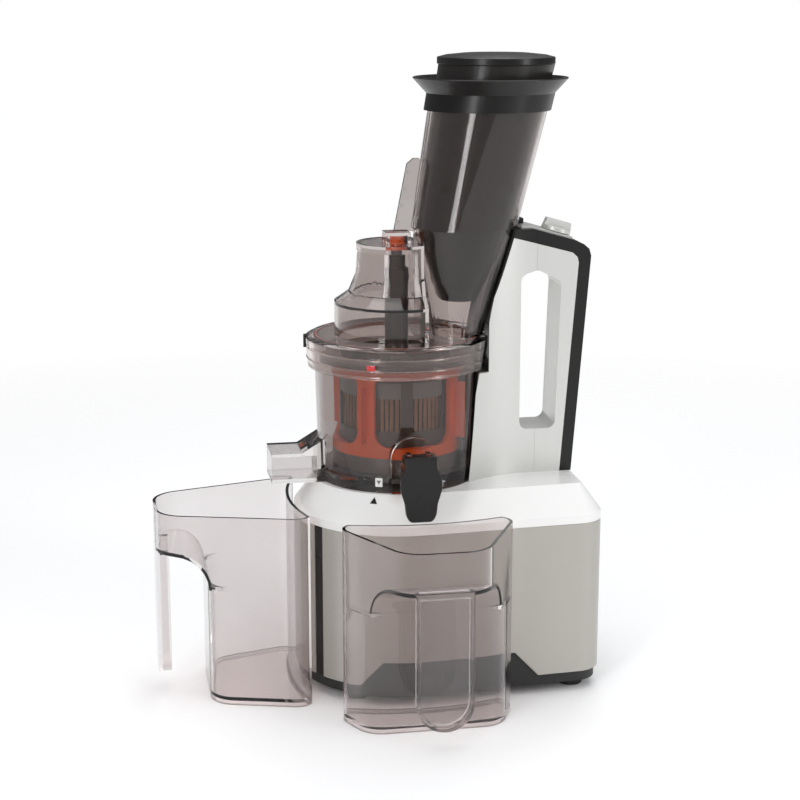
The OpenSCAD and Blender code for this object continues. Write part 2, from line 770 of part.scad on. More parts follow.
module mark_seat(g = 0) rotate(bowl_mark_angle) translate([bowl_foot_r - 1 - g, -2.6 - g, deck_z + 4.4 - g])
    cube([g > 0 ? mark_reach : 1.2, 5.2 + 2 * g, 6.4 + 2 * g]);

module bowl_mark() color(c_white) mark_seat();

module bowl_seal() color(c_orange)
    tube(seal_r, hex_af / sqrt(3) + 0.5, deck_z + neck_h + 0.5, floor_z);

module pulp_plug() color(c_orange) translate([-34 + seam, -5 + seam, deck_z + 0.2])
    cube([12 - 2 * seam, 10 - 2 * seam, channel_z - deck_z - 0.2]);

module idler_pins() color(c_steel) for (s = [-1, 1]) translate([0, s * idler_at, 0]) {
    translate([0, 0, floor_z - 6]) cylinder(r = pin_r, h = strainer_z - floor_z + 6);
    translate([0, 0, strainer_z - eps]) cylinder(r = pin_tip_r, h = 2.4);
}

module idler(s) translate([0, s * idler_at, floor_z + run]) difference() {
    rotate(180 / idler_n) linear_extrude(bowl_gear_h - 0.5) gear2d(bowl_m, idler_n, backlash);
    translate([0, 0, -1]) cylinder(r = pin_r + run, h = 20);
}

module idler_gear_near() color(c_white) idler(-1);
module idler_gear_far() color(c_white) idler(1);

module cap_hinge_pin() color(c_steel) translate([0, hinge_y, hinge_z]) rotate([0, 90, 0])
    cylinder(r = hinge_pin_r, h = 18, center = true);

module juice_cap() color(c_black) difference() {
    union() {
        translate([0, cap_y, spout_z]) rotate([90, 0, 0]) cylinder(r = cap_r, h = cap_t);
        translate([-cap_tongue_r, cap_y - cap_t, spout_z - cap_r - 2])
            cube([2 * cap_tongue_r, cap_t, 10]);
        translate([0, cap_y, spout_z - cap_r - 2]) rotate([90, 0, 0]) cylinder(r = cap_tongue_r, h = cap_t);
        translate([-11, cap_y - cap_t, spout_z + 6]) cube([22, cap_t, hinge_z - spout_z - 6]);
        for (x = [-11, -4.9, 9.1]) translate([x, hinge_y, hinge_z]) rotate([0, 90, 0])
            cylinder(r = hinge_r, h = x == -4.9 ? 9.8 : 1.9);
        for (x = [-11, -4.9, 9.1]) translate([x, cap_y - cap_t, hinge_z - hinge_r])
            cube([x == -4.9 ? 9.8 : 1.9, hinge_y - cap_y + cap_t, 2 * hinge_r]);
    }
    translate([0, hinge_y, hinge_z]) rotate([0, 90, 0])
        cylinder(r = hinge_pin_r + run, h = 60, center = true);
    translate([0, cap_y + 1, spout_z]) rotate([90, 0, 0]) cylinder(r = cap_r - 2.6, h = 3);
    for (s = [-1, 1]) translate([s * 7 - 2.1, cap_y - 0.6, spout_z + 6]) cube([4.2, 12, 20]);
}

module cap_seal() color(c_orange) translate([0, -juice_reach, spout_z]) rotate([90, 0, 0])
    cylinder(r = cap_r - 2.6 - seam / 2, h = 2.8);

module strainer_frame() color("#5b5653") difference() {
    union() {
        tube(strainer_r, mesh_in, strainer_z, strainer_top);
        tube(strainer_r, auger_pr + bowl_m + 1.5, strainer_z, strainer_z + 2.5);
        tube(bowl_r - bowl_t - slide - 1, mesh_in, strainer_top - 3.5, strainer_top);
    }
    // windows for the mesh
    tube(mesh_in + mesh_t, mesh_in - 1, strainer_z + 2.5, strainer_top - 8);
    windows = 8;
    for (i = [0:windows - 1]) rotate(360 * (i + 0.5) / windows)
        translate([mesh_in - 2, -12, strainer_z + 8]) cube([8, 24, strainer_top - strainer_z - 24]);
    for (s = [-1, 1]) translate([0, s * idler_at, strainer_z - 1]) cylinder(r = pin_tip_r + run, h = 5);
    // pulp hole
    translate([-chimney_x - chimney_l + 1, -channel_half + 1, strainer_z - 1])
        cube([chimney_l - 2, 2 * channel_half - 2, 5]);
}

module strainer_mesh() color("#8a6a52") difference() {
    tube(mesh_in + mesh_t, mesh_in, strainer_z + 2.5, strainer_top - 8);
    slots = 72;
    for (i = [0:slots - 1]) rotate(360 * (i + 0.5) / slots)
        translate([mesh_in - 2, -0.55, strainer_z + 9]) cube([6, 1.1, strainer_top - strainer_z - 26]);
}

// ---------- wiper and auger ----------

module wiper_frame() color(c_orange) difference() {
    union() {
        translate([0, 0, floor_z + run]) linear_extrude(bowl_gear_h - run) difference() {
            circle(r = wiper_r - 0.8);
            rotate(180 / ring_n) gear2d(bowl_m, ring_n, -backlash, 1.25, 0.75);
        }
        rotate_extrude() polygon([[wiper_in + 1.6, floor_z + run], [wiper_r, floor_z + run],
            [wiper_r, gear_top + 12], [wiper_in, gear_top + 12], [wiper_in, gear_top + 1],
            [wiper_in + 1.6, gear_top + 1]]);
        tube(wiper_r, wiper_in, wiper_top - 8, wiper_top);
        for (a = blade_angles) rotate(a) intersection() {
            tube(wiper_r - 0.1, wiper_in + 0.1, gear_top + 6, wiper_top - 4);
            translate([0, -6, 0]) cube([60, 12, big]);
        }
    }
    for (a = blade_angles) rotate(a)
        translate([wiper_in - 5, -0.8, gear_top + 14]) cube([14, 1.6, wiper_top - gear_top - 26]);
}

blade_angles = [52, 142, 232, 322];

module wiper_blades() color(c_orange) for (a = blade_angles) rotate(a) {
    z0 = gear_top + 14 + seam;
    z1 = wiper_top - 12 - seam;
    translate([strainer_r + 0.4, -0.8 + seam / 2, z0])
        cube([bowl_foot_r - bowl_t - 1.2 - strainer_r, 1.6 - seam, z1 - z0]);
}

module auger() color("#3a3836") {
    z0 = gear_top + 4;
    top = hat_top - 9;
    flight_z = strainer_z + 3.2;
    flight_h = strainer_top - 8 - flight_z;
    difference() {
        union() {
            translate([0, 0, gear_top]) cylinder(r = auger_pr + bowl_m, h = 4.5);
            rotate_extrude() polygon([[0, z0], [18, z0], [18, flight_z], [27, flight_z + 4],
                [24, flight_z + 22], [17, flight_z + 46], [13, flight_z + flight_h + 2],
                [auger_shaft_r, flight_z + flight_h + 14], [auger_shaft_r, top - 10],
                [top_pin_r + 2.5, top - 8], [top_pin_r + 2.5, top], [top_pin_r, top],
                [top_pin_r, hat_top + 1], [0, hat_top + 1]]);
            translate([0, 0, flight_z]) linear_extrude(flight_h, twist = -300, slices = 40)
                for (a = [0, 180]) rotate(a) translate([0, -2.2]) square([mesh_in - 0.8, 4.4]);
        }
        hex_bar(hex_af + 3, gear_top - 1, gear_top + 4);
        translate([0, 0, gear_top + 3.9]) cylinder(r = 4, h = 30);
    }
}

module auger_gear() color(c_white) difference() {
    translate([0, 0, floor_z + run]) linear_extrude(bowl_gear_h - run) gear2d(bowl_m, auger_n, backlash);
    hex_bar(hex_af + 3, floor_z - 1, gear_top + 1);
}

module hex_socket() color(c_steel) difference() {
    hex_bar(hex_af + 3, floor_z + run, gear_top + 4);
    hex_bar(hex_af + 2 * run, floor_z - 1, gear_top + 5);
}

// ---------- lid ----------

// Lower funnel and leaning chute, grown by g outside the bore
module chute_form(g) {
    lean_r = (chute_r - chute_low_r) / (chute_top - funnel_z);
    intersection() {
        translate([chute_x(funnel_z - 20), 0, funnel_z - 20]) rotate([0, chute_lean, 0])
            cylinder(r1 = chute_low_r - 20 * lean_r + g, r2 = chute_low_r + 130 * lean_r + g, h = 150);
        translate([-big / 2, -big / 2, funnel_z]) cube([big, big, chute_top - funnel_z + (g > 0 ? 0 : 1)]);
    }
    hull() {
        translate([chute_x(funnel_z), 0, funnel_z])
            cylinder(r = chute_low_r + g - funnel_step, h = 0.5, $fn = 64);
        for (s = [-1, 1]) translate([mouth_x + (g > 0 ? 1.5 : 0), s * mouth_half, rim_z - (g > 0 ? 0 : 1)])
            cylinder(r = mouth_r + g * 1.6, h = 3, $fn = 32);
    }
}

hat_cut = 15.5;

module hat_form(g) rotate_extrude() polygon([
    [0, rim_z], [45 - g, rim_z], [45 - g, rim_z + 27 - g], [hat_r + 6 - g, rim_z + 34 - g],
    [hat_r + 0.6 - g, rim_z + 47], [hat_r - 0.8 - g, hat_top - 6], [hat_r - 0.8 - g, hat_top - g],
    [0, hat_top - g]]);

module lid() color(c_smoke) difference() {
    union() {
        // collar and plate
        rotate_extrude() polygon([[bowl_r + slide, rim_z - collar_h], [lid_r - 1.6, rim_z - collar_h],
            [lid_r, rim_z - 2], [lid_r, rim_z + 1], [lid_r - 4, plate_top], [0, plate_top], [0, rim_z],
            [bowl_r + slide, rim_z]]);
        // hat, cut flat towards the chute
        intersection() {
            union() {
                hat_form(0);
                translate([0, 0, hat_top - 5]) cylinder(r = hat_r, h = 5);
            }
            translate([-big, -big / 2, 0]) cube([big + hat_cut, big, big]);
        }
        chute_form(lid_t);
        // web between the hat and the chute
        side_plate(3) polygon([[hat_cut - 2, plate_top - 1], [hat_cut - 2, hat_top - 1],
            [hat_cut + 14, hat_top - 8], [40, plate_top + 20], [40, plate_top - 1]]);
        for (z = [rim_z + 27, rim_z + 45]) translate([hat_cut - 2, -10, z]) cube([12, 20, 2]);
        // block that holds the bush
        translate([-9, -9, hat_top - 1]) cube([18, 18, bush_h + 3.5]);
    }
    // bore of the chute and of the mouth
    chute_form(0);
    // inside of the hat
    intersection() {
        hat_form(lid_t);
        translate([-big, -big / 2, 0]) cube([big + hat_cut - lid_t, big, big]);
    }
    translate([0, 0, rim_z - 1]) intersection() {
        cylinder(r = 45 - lid_t, h = 8);
        translate([-big, -big / 2, 0]) cube([big + hat_cut - lid_t, big, big]);
    }
    // seat of the bush, and the auger's top pin
    translate([0, 0, hat_top - 4]) cylinder(r = bush_r, h = 4 + bush_h);
    translate([0, 0, rim_z]) cylinder(r = 7, h = hat_h + 1);
    // gasket groove
    translate([0, 0, rim_z - eps]) difference() {
        cylinder(r = bowl_r - 0.4, h = 1.6);
        translate([0, 0, -1]) cylinder(r = bowl_r - bowl_t + 0.4, h = 4);
    }
    lid_mark_seat(seam / 2);
    catch_seat(seam / 2);
}

catch_angle = 172;
catch_z = tower_top + plate_t + 0.8;
lid_mark_angle = -116;
bush_r = 7.9;
bush_h = 5;

module lid_mark_seat(g = 0) rotate(lid_mark_angle) translate([lid_r - 2.6 - g, -2.9 - g, rim_z - 12.5 - g])
    cube([g > 0 ? mark_reach : 2.2, 5.8 + 2 * g, 3.6 + 2 * g]);

module lid_mark() color("#c8202a") lid_mark_seat();

module lid_gasket() color(c_orange)
    tube(bowl_r - 0.5, bowl_r - bowl_t + 0.5, rim_z, rim_z + 1.5);

// Clip on the flange and lock tab on the chute, grown by g for their seats
module catch_seat(g = 0) {
    rotate(catch_angle) translate([lid_r - 3 - g, -3 - g, rim_z - 7 - g])
        cube([4.4 + g, 6 + 2 * g, 9 + 2 * g]);
    translate([chute_x(catch_z) + chute_low_r + lid_t - 0.4 - g, -4 - g, catch_z - g])
        cube([6 + g, 8 + 2 * g, 4 + 2 * g]);
}

module lid_catches() color(c_black) catch_seat();

module axis_bush() color(c_orange) difference() {
    translate([0, 0, hat_top - 4]) cylinder(r = bush_r - seam / 2, h = 4 + bush_h - seam);
    translate([0, 0, hat_top - 5]) cylinder(r = top_pin_r + run, h = 7);
}

fin_t = 3;

module lid_fin() color(c_clear) difference() {
    z0 = hat_top + bush_h + 2.5;
    x0 = 3.6;
    fin_w = 11.5;
    fin_h = 52;
    union() {
        side_plate(fin_t) {
            polygon([[x0 - fin_w / 2, z0], [x0 + fin_w / 2, z0],
                [x0 + fin_w / 2 + (fin_h - 4) * tan_lean, z0 + fin_h - 4],
                [x0 + fin_w / 2 - 3.5 + fin_h * tan_lean, z0 + fin_h],
                [x0 - fin_w / 2 + 4 + fin_h * tan_lean, z0 + fin_h],
                [x0 - fin_w / 2 + (fin_h - 4) * tan_lean, z0 + fin_h - 4]]);
            // rib to the chute wall
            polygon([[x0, z0], [x0 + 2 * fin_w, z0], [x0 + 2 * fin_w, z0 + 8], [x0, z0 + 8]]);
        }
        for (i = [0:3]) translate([x0 + (6 + 12 * i) * tan_lean - fin_w / 2 + 2.6, 0, z0 + 6 + 12 * i])
            rotate([90, 0, 0]) cylinder(r = 1.2, h = fin_t + 1.6, center = true, $fn = 24);
    }
    chute_form(lid_t);
}

module hopper_rim() color(c_black) {
    cx = chute_x(chute_top);
    difference() {
        union() {
            translate([cx, 0, chute_top]) rotate_extrude() polygon([[0, 0], [chute_r + lid_t + 3.4, 0],
                [hopper_r, hopper_top - chute_top - 0.6], [hopper_r - 0.6, hopper_top - chute_top], [0, hopper_top - chute_top]]);
            intersection() {
                translate([chute_x(hopper_foot - 20), 0, hopper_foot - 20]) rotate([0, chute_lean, 0])
                    cylinder(r1 = chute_r + lid_t + 1.4, r2 = chute_r + lid_t + 3.4, h = 60);
                translate([0, -big / 2, hopper_foot]) cube([big, big, chute_top + 1 - hopper_foot]);
            }
        }
        chute_form(lid_t);
        translate([cx, 0, chute_top]) rotate_extrude() polygon([[0, -0.5],
            [chute_r + lid_t + 1.7, -0.5], [chute_r + lid_t + 1.7, 0.8],
            [hopper_r - 2, hopper_top - chute_top + 0.5], [0, hopper_top - chute_top + 0.5]]);
    }
}

// ---------- pusher ----------

module pusher_shape(g, nose) {
    lean_r = (chute_r - chute_low_r) / (chute_top - funnel_z);
    intersection() {
        translate([chute_x(funnel_z - 20), 0, funnel_z - 20]) rotate([0, chute_lean, 0])
            cylinder(r1 = chute_low_r - 20 * lean_r - g, r2 = chute_low_r + 150 * lean_r - g, h = 170);
        translate([-big / 2, -big / 2, funnel_z])
            cube([big, big, disc_z - funnel_z + (g > slide ? 1 : 0)]);
    }
    hull() {
        translate([chute_x(funnel_z), 0, funnel_z])
            cylinder(r = chute_low_r - g - funnel_step, h = 0.5, $fn = 64);
        for (s = [-1, 1]) translate([mouth_x + 3, s * (mouth_half - 2), nose])
            cylinder(r = mouth_r - g, h = 1, $fn = 32);
    }
}

module pusher() color("#4a4642") difference() {
    union() {
        pusher_shape(slide, nose_z);
        translate([chute_x(chute_top), 0, chute_top]) cylinder(r = chute_r + 1.8, h = stop_h);
    }
    pusher_shape(slide + pusher_t, nose_z + pusher_t);
}

module pusher_cap() color(c_black) translate([chute_x(disc_z), 0, disc_z]) {
    cylinder(r = cap_disc_r, h = 5);
    translate([0, 0, 5 - eps]) rotate_extrude() polygon([[0, 0], [cap_disc_r - 0.6, 0],
        [cap_disc_r - 6, 1.4], [cap_disc_r - 18, 2.6], [0, 3.2]]);
}

// ---------- jugs ----------

// Rim seen from above: round corners, and a hollow end at +x; drawn in by g
module jug_plan(w, d, g, r_far, share) difference() {
    hull() for (s = [-1, 1]) {
        translate([-d + r_far, s * (share * w / 2 - r_far)]) circle(r = r_far - g, $fn = 48);
        translate([-jug_horn_r, s * (w / 2 - jug_horn_r)]) circle(r = jug_horn_r - g, $fn = 32);
    }
    hug_r = (w * w / 4 + jug_notch * jug_notch) / (2 * jug_notch);
    translate([hug_r - jug_notch, 0]) circle(r = hug_r + g, $fn = 180);
}

// Room of a jug: a body under a rim that reaches over the handle; drawn in by g
module jug_form(w, d, g, low) {
    under = jug_h - 30;
    arch = 24;
    foot_x = -d + jug_over;
    translate([0, 0, low]) linear_extrude(under - arch + g - low + eps)
        jug_plan(w, d - jug_over, g, jug_body_r, body_share(d));
    intersection() {
        translate([0, 0, under - arch + g]) linear_extrude(jug_h)
            jug_plan(w, d, g, jug_nose_r, nose_share);
        side_plate(w + 2) polygon(concat(
            [[-d - 1, jug_h + (g > 0 ? 1 : 0)], [-d - 1, under + g]],
            [for (a = [90:-15:0]) [foot_x - arch + (arch + g) * cos(a), under - arch + (arch + g) * sin(a)]],
            [[1, under - arch], [1, jug_h + (g > 0 ? 1 : 0)]]));
    }
}

module jug(w, d) {
    difference() {
        jug_form(w, d, 0, 0);
        jug_form(w, d, jug_t, jug_floor_t + jug_foot_h);
        translate([0, 0, -1]) linear_extrude(1 + jug_foot_h)
            jug_plan(w, d - jug_over, jug_foot_t, jug_body_r, body_share(d));
    }
    // handle plate with its two side ribs
    plate_h = jug_h - 29 - plate_low;
    translate([-d + 0.3, 0, plate_low]) difference() {
        handle_tongue(handle_w / 2, 9, plate_h);
        translate([2.6, 0, 2.4]) handle_tongue(handle_w / 2 - 2.4, 9, plate_h - 6.4);
    }
}

// Plate with a round lower end, standing on its tip
module handle_tongue(r, depth, height) {
    translate([0, 0, r]) rotate([0, 90, 0]) cylinder(r = r, h = depth);
    translate([0, -r, r]) cube([depth, 2 * r, height - r]);
}

module juice_jug() color(c_clear) translate([juice_jug_x, juice_jug_back, 0]) rotate(90)
    jug(juice_jug_w, juice_jug_d);

module pulp_jug() color(c_clear) translate([pulp_jug_back, pulp_jug_y, 0]) jug(pulp_jug_w, pulp_jug_d);

// ---------- output ----------

on_floor() bottom_tray();
on_floor() rubber_feet();
on_floor() foot_screws();
on_floor() front_panel();
on_floor() near_panel();
on_floor() far_panel();
on_floor() seam_strips();
on_floor() rear_panel();
on_floor() top_shell();
on_floor() deck_mark();
on_floor() tower_core();
on_floor() near_tower_cover();
on_floor() far_tower_cover();
on_floor() tower_top_plate();
on_floor() switch_module();
on_floor() switch_knob();
on_floor() motor_stator();
on_floor() motor_rotor();
on_floor() cooling_fan();
on_floor() motor_pinion();
on_floor() gearbox_base();
on_floor() gearbox_cover();
on_floor() gearbox_screws();
on_floor() intermediate_gear();
on_floor() output_gear();
on_floor() drive_spindle();
on_floor() spindle_bearing();
on_floor() spindle_seal();
on_floor() control_board();
on_floor() cord_gland();
on_floor() bowl();
on_floor() bowl_seal();
on_floor() pulp_plug();
on_floor() bowl_mark();
on_floor() idler_pins();
on_floor() idler_gear_near();
on_floor() idler_gear_far();
on_floor() strainer_frame();
on_floor() strainer_mesh();
on_floor() cap_hinge_pin();
on_floor() juice_cap();
on_floor() cap_seal();
on_floor() wiper_frame();
on_floor() wiper_blades();
on_floor() auger();
on_floor() auger_gear();
on_floor() hex_socket();
on_floor() lid();
on_floor() lid_gasket();
on_floor() hopper_rim();
on_floor() lid_fin();
on_floor() axis_bush();
on_floor() lid_catches();
on_floor() lid_mark();
on_floor() pusher();
on_floor() pusher_cap();
on_floor() juice_jug();
on_floor() pulp_jug();
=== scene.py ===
"""Upright cold press juicer: surfaces, rounded edges and fine parts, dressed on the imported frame."""

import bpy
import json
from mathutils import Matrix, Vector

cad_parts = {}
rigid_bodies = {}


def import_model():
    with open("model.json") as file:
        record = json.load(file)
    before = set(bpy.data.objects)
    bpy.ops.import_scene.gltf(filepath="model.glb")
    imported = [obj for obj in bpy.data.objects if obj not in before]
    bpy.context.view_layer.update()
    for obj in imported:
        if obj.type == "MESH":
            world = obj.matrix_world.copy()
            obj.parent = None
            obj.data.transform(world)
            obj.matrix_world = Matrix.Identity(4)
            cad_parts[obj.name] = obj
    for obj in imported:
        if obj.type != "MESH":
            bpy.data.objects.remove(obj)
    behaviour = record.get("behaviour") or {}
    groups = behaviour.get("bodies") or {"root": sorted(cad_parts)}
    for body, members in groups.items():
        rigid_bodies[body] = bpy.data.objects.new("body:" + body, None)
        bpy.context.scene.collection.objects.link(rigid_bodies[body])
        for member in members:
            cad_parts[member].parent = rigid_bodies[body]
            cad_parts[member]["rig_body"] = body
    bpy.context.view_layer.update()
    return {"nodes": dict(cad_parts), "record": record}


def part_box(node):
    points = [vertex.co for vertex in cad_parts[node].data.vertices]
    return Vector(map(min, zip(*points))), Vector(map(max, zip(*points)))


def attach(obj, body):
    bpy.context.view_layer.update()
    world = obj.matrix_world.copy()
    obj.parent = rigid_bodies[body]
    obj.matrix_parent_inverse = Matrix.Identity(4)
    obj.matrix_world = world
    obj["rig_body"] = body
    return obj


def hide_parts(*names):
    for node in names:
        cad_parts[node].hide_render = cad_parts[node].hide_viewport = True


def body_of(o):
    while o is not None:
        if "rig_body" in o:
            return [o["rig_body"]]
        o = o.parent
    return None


bl_info = {
    "name": "Cold press juicer",
    "version": (1, 0, 0),
    "blender": (4, 5, 0),
    "location": "View3D > Sidebar > Juicer",
    "description": "Builds the finished surfaces of an upright cold press juicer on its frame",
    "category": "Object",
}

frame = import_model()

import json
import math

import bmesh
import bpy
from bpy.props import FloatProperty, FloatVectorProperty, IntProperty, PointerProperty
from mathutils import Matrix, Vector
from mathutils.geometry import delaunay_2d_cdt

MM = 0.001
WELD = 2e-6  # distance at which a frame mesh's loose corners are joined
SEAM = 1e-5  # distance at which the two ends of a rolled sheet are joined
TOUCH = 1e-6  # points of a flat sheet nearer than this, in millimetres, are one
FLAT = math.radians(0.6)  # triangles that turn less than this are one face
CREASE = math.radians(38)  # sharper edges than this stay sharp
NODES = frame["nodes"]

# Sizes and places in millimetres off the bowl's axis and above the floor, unless a line says metres
SPOUT_FROM = 61  # the bowl's clear stretch lies beyond this, towards -x
COLLAR_BAND = (0.236, 0.2555)  # thin wall of the lid's collar, in metres
ARM_ANGLE = math.radians(52)  # first arm of the wiper
CAGE_OUT, CAGE_IN = 46.75, 43.35  # faces of the wiper's cage
CAGE_LOW, CAGE_HIGH = 176.2, 240
HINGE_Y, HINGE_Z = -87, 187  # the juice cap's hinge
STRAINER_BAND = (40.2, 41.45)  # faces of the strainer's plain bands
STUD_RING, STUD_HEIGHT = 45.9, 177.0  # circle of small studs on the wiper's foot
BEAD_RINGS = ((64.3, 238.2), (65.1, 242.6), (65.6, 250.6))  # radius and height of the collar's beads
BEAD = 0.55  # radius of a bead
BEAD_STEPS = 160
ROUND = 128  # steps round a turned ring

# Stage, in metres, degrees and watts
AMBIENT = 0.45  # sky's strength
GLOSSY_DROP = 0.3  # how much weaker a glossy face sees it
LENS = 79.97  # focal length in millimetres, on a sensor 36 wide
CAMERA_AT = (-0.20625, -1.207, 0.501)
CAMERA_TURN = (77, 0, -10.3)


# ---------- places, read from the frame ----------


def middle(node):
    """The middle of a frame node's box, in metres."""
    low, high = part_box(node)
    return (low + high) / 2


AXIS = middle("bowl_seal")


def spot(x, y, z):
    """A point in metres, from millimetres off the bowl's axis and above the floor."""
    return Vector((AXIS.x + x * MM, AXIS.y + y * MM, z * MM))


# ---------- material recipes ----------


class Flow:
    """A number on its way through a material; arithmetic on it adds Math nodes."""

    def __init__(self, recipe, socket):
        self.recipe = recipe
        self.socket = socket

    def maths(self, operation, *values, clamp=False):
        inputs = dict(enumerate(values))
        return self.recipe.add("ShaderNodeMath", {"operation": operation, "use_clamp": clamp}, inputs)

    def __add__(self, other):
        return self.maths("ADD", self, other)

    __radd__ = __add__

    def __sub__(self, other):
        return self.maths("SUBTRACT", self, other)

    def __rsub__(self, other):
        return self.maths("SUBTRACT", other, self)

    def __mul__(self, other):
        return self.maths("MULTIPLY", self, other)

    __rmul__ = __mul__

    def __pow__(self, other):
        return self.maths("POWER", self, other)

    def __rpow__(self, other):
        return self.maths("POWER", other, self)

    def above(self, edge, soft):
        """0 under the edge and 1 over it, with a ramp as wide as soft."""
        return self.maths("MULTIPLY_ADD", self, 1 / soft, 0.5 - edge / soft, clamp=True)


class Recipe:
    """One material and its nodes."""

    def __init__(self, name):
        self.material = bpy.data.materials.new(name)
        self.material.use_nodes = True
        self.tree = self.material.node_tree
        self.tree.nodes.clear()
        self.place = self.add("ShaderNodeTexCoord", out="Object")

    def add(self, kind, settings=None, inputs=None, out=0):
        node = self.tree.nodes.new(kind)
        for key, value in (settings or {}).items():
            setattr(node, key, value)
        for key, value in (inputs or {}).items():
            if isinstance(value, Flow):
                self.tree.links.new(value.socket, node.inputs[key])
            else:
                node.inputs[key].default_value = value
        return Flow(self, node.outputs[out])

    def noise(self, scale, detail=2.0, stretch=(1, 1, 1)):
        where = self.place
        if stretch != (1, 1, 1):
            where = self.add("ShaderNodeMapping", None, {"Vector": where, "Scale": stretch})
        return self.add("ShaderNodeTexNoise", None, {"Vector": where, "Scale": scale, "Detail": detail})

    def shade(self, factor, first, second):
        """The colour between two colours."""
        return self.add(
            "ShaderNodeMix",
            {"data_type": "RGBA"},
            {0: factor, 6: first if isinstance(first, Flow) else (*first, 1),
             7: second if isinstance(second, Flow) else (*second, 1)},
            out=2,
        )

    def bump(self, height, strength, depth):
        return self.add("ShaderNodeBump", None, {"Height": height, "Strength": strength, "Distance": depth})

    def principled(self, **inputs):
        named = {key.replace("_", " "): value for key, value in inputs.items()}
        return self.add("ShaderNodeBsdfPrincipled", None, named)

    def end(self, shader):
        output = self.tree.nodes.new("ShaderNodeOutputMaterial")
        self.tree.links.new(shader.socket, output.inputs["Surface"])
        return self.material


def tone(colour, by):
    """The colour made lighter or darker by a factor."""
    return tuple(max(0.0, min(1.0, c * by)) for c in colour)


def moulded(name, colour, rough=0.4, metal=0.0, coat=0.0, grain=0.15, grain_scale=1500, mottle=0.05,
            shine=0.5):
    """Moulded plastic or paint: a faint cloud in the colour, uneven gloss and a fine grain."""
    r = Recipe(name)
    cloud = r.noise(16, 3)
    fine = r.noise(grain_scale, 2)
    worn = r.noise(55, 4)
    return r.end(r.principled(
        Base_Color=r.shade(cloud, tone(colour, 1 - mottle), tone(colour, 1 + mottle)),
        Roughness=worn * 0.14 + (rough - 0.07) + (fine - 0.5) * 0.06,
        Metallic=metal,
        Coat_Weight=coat,
        Coat_Roughness=0.08,
        Specular_IOR_Level=shine,
        Normal=r.bump(fine, grain, 0.00006),
    ))


def metal_paint(name, colour, rough, metal):
    """Satin silver paint: small bright flakes over an even base."""
    r = Recipe(name)
    flake = r.noise(5200, 1)
    cloud = r.noise(9, 2)
    worn = r.noise(48, 4)
    base = r.shade(flake.above(0.56, 0.12) * 0.35, colour, tone(colour, 1.25))
    return r.end(r.principled(
        Base_Color=r.shade(cloud * 0.5, base, tone(colour, 0.93)),
        Roughness=worn * 0.12 + (rough - 0.06),
        Metallic=metal,
        Coat_Weight=0.25,
        Coat_Roughness=0.1,
        Normal=r.bump(flake, 0.06, 0.00004),
    ))


def smoked(name, tint, edge_tint, rough=0.03, pale=None):
    """Clear tinted plastic: darker where it is seen edge on, with faint moulding flow and scuffs.

    pale is (axis, low, high, tint): between those places in metres the wall is thin and takes that tint.
    """
    r = Recipe(name)
    flow = r.noise(11, 2, (1, 1, 2.5))
    scuff = r.noise(420, 3, (1, 1, 0.3))
    edge = r.add("ShaderNodeLayerWeight", None, {"Blend": 0.35}, out="Facing")
    body = r.shade(flow, tone(tint, 0.97), tint)
    if pale:
        where = r.add("ShaderNodeSeparateXYZ", None, {0: r.place}, out=pale[0])
        body = r.shade(where.above(pale[1], 0.001) * (1 - where.above(pale[2], 0.001)), body, pale[3])
    colour = r.shade(edge ** 3.0, body, edge_tint)
    glass = r.principled(
        Base_Color=colour,
        Roughness=scuff.above(0.68, 0.2) * 0.07 + rough,
        IOR=1.45,
        Transmission_Weight=1.0,
        Normal=r.bump(flow, 0.05, 0.0006),
    )
    clear = r.add("ShaderNodeBsdfTransparent", None, {"Color": body})
    shadow = r.add("ShaderNodeLightPath", out="Is Shadow Ray")
    return r.end(r.add("ShaderNodeMixShader", None, {0: shadow, 1: glass, 2: clear}))


def metal_sheet(name, colour, rough, stretch=(1, 1, 40), scale=60, metal=1.0):
    """Steel or other bare metal, brushed along one axis."""
    r = Recipe(name)
    brushed = r.noise(scale, 4, stretch)
    cloud = r.noise(22, 3)
    return r.end(r.principled(
        Base_Color=r.shade(cloud, tone(colour, 0.9), tone(colour, 1.06)),
        Roughness=brushed * 0.2 + (rough - 0.1),
        Metallic=metal,
        Normal=r.bump(brushed, 0.12, 0.00005),
    ))


def soft_rubber(name, colour, rough=0.6):
    """Rubber or silicone: matt with a dusty bloom."""
    r = Recipe(name)
    dust = r.noise(120, 5)
    fine = r.noise(1900, 2)
    return r.end(r.principled(
        Base_Color=r.shade(dust, tone(colour, 0.88), tone(colour, 1.12)),
        Roughness=dust * 0.16 + (rough - 0.08),
        Normal=r.bump(fine, 0.3, 0.00008),
    ))


def sintered(name, colour):
    """Etched strainer metal: bronze tint, heat mottle and a pitted face."""
    r = Recipe(name)
    pits = r.noise(2600, 2)
    mottle = r.noise(70, 4)
    return r.end(r.principled(
        Base_Color=r.shade(mottle, tone(colour, 0.7), tone(colour, 1.25)),
        Roughness=pits * 0.25 + 0.28,
        Metallic=0.75,
        Normal=r.bump(pits, 0.35, 0.00008),
    ))


MATERIALS = {}


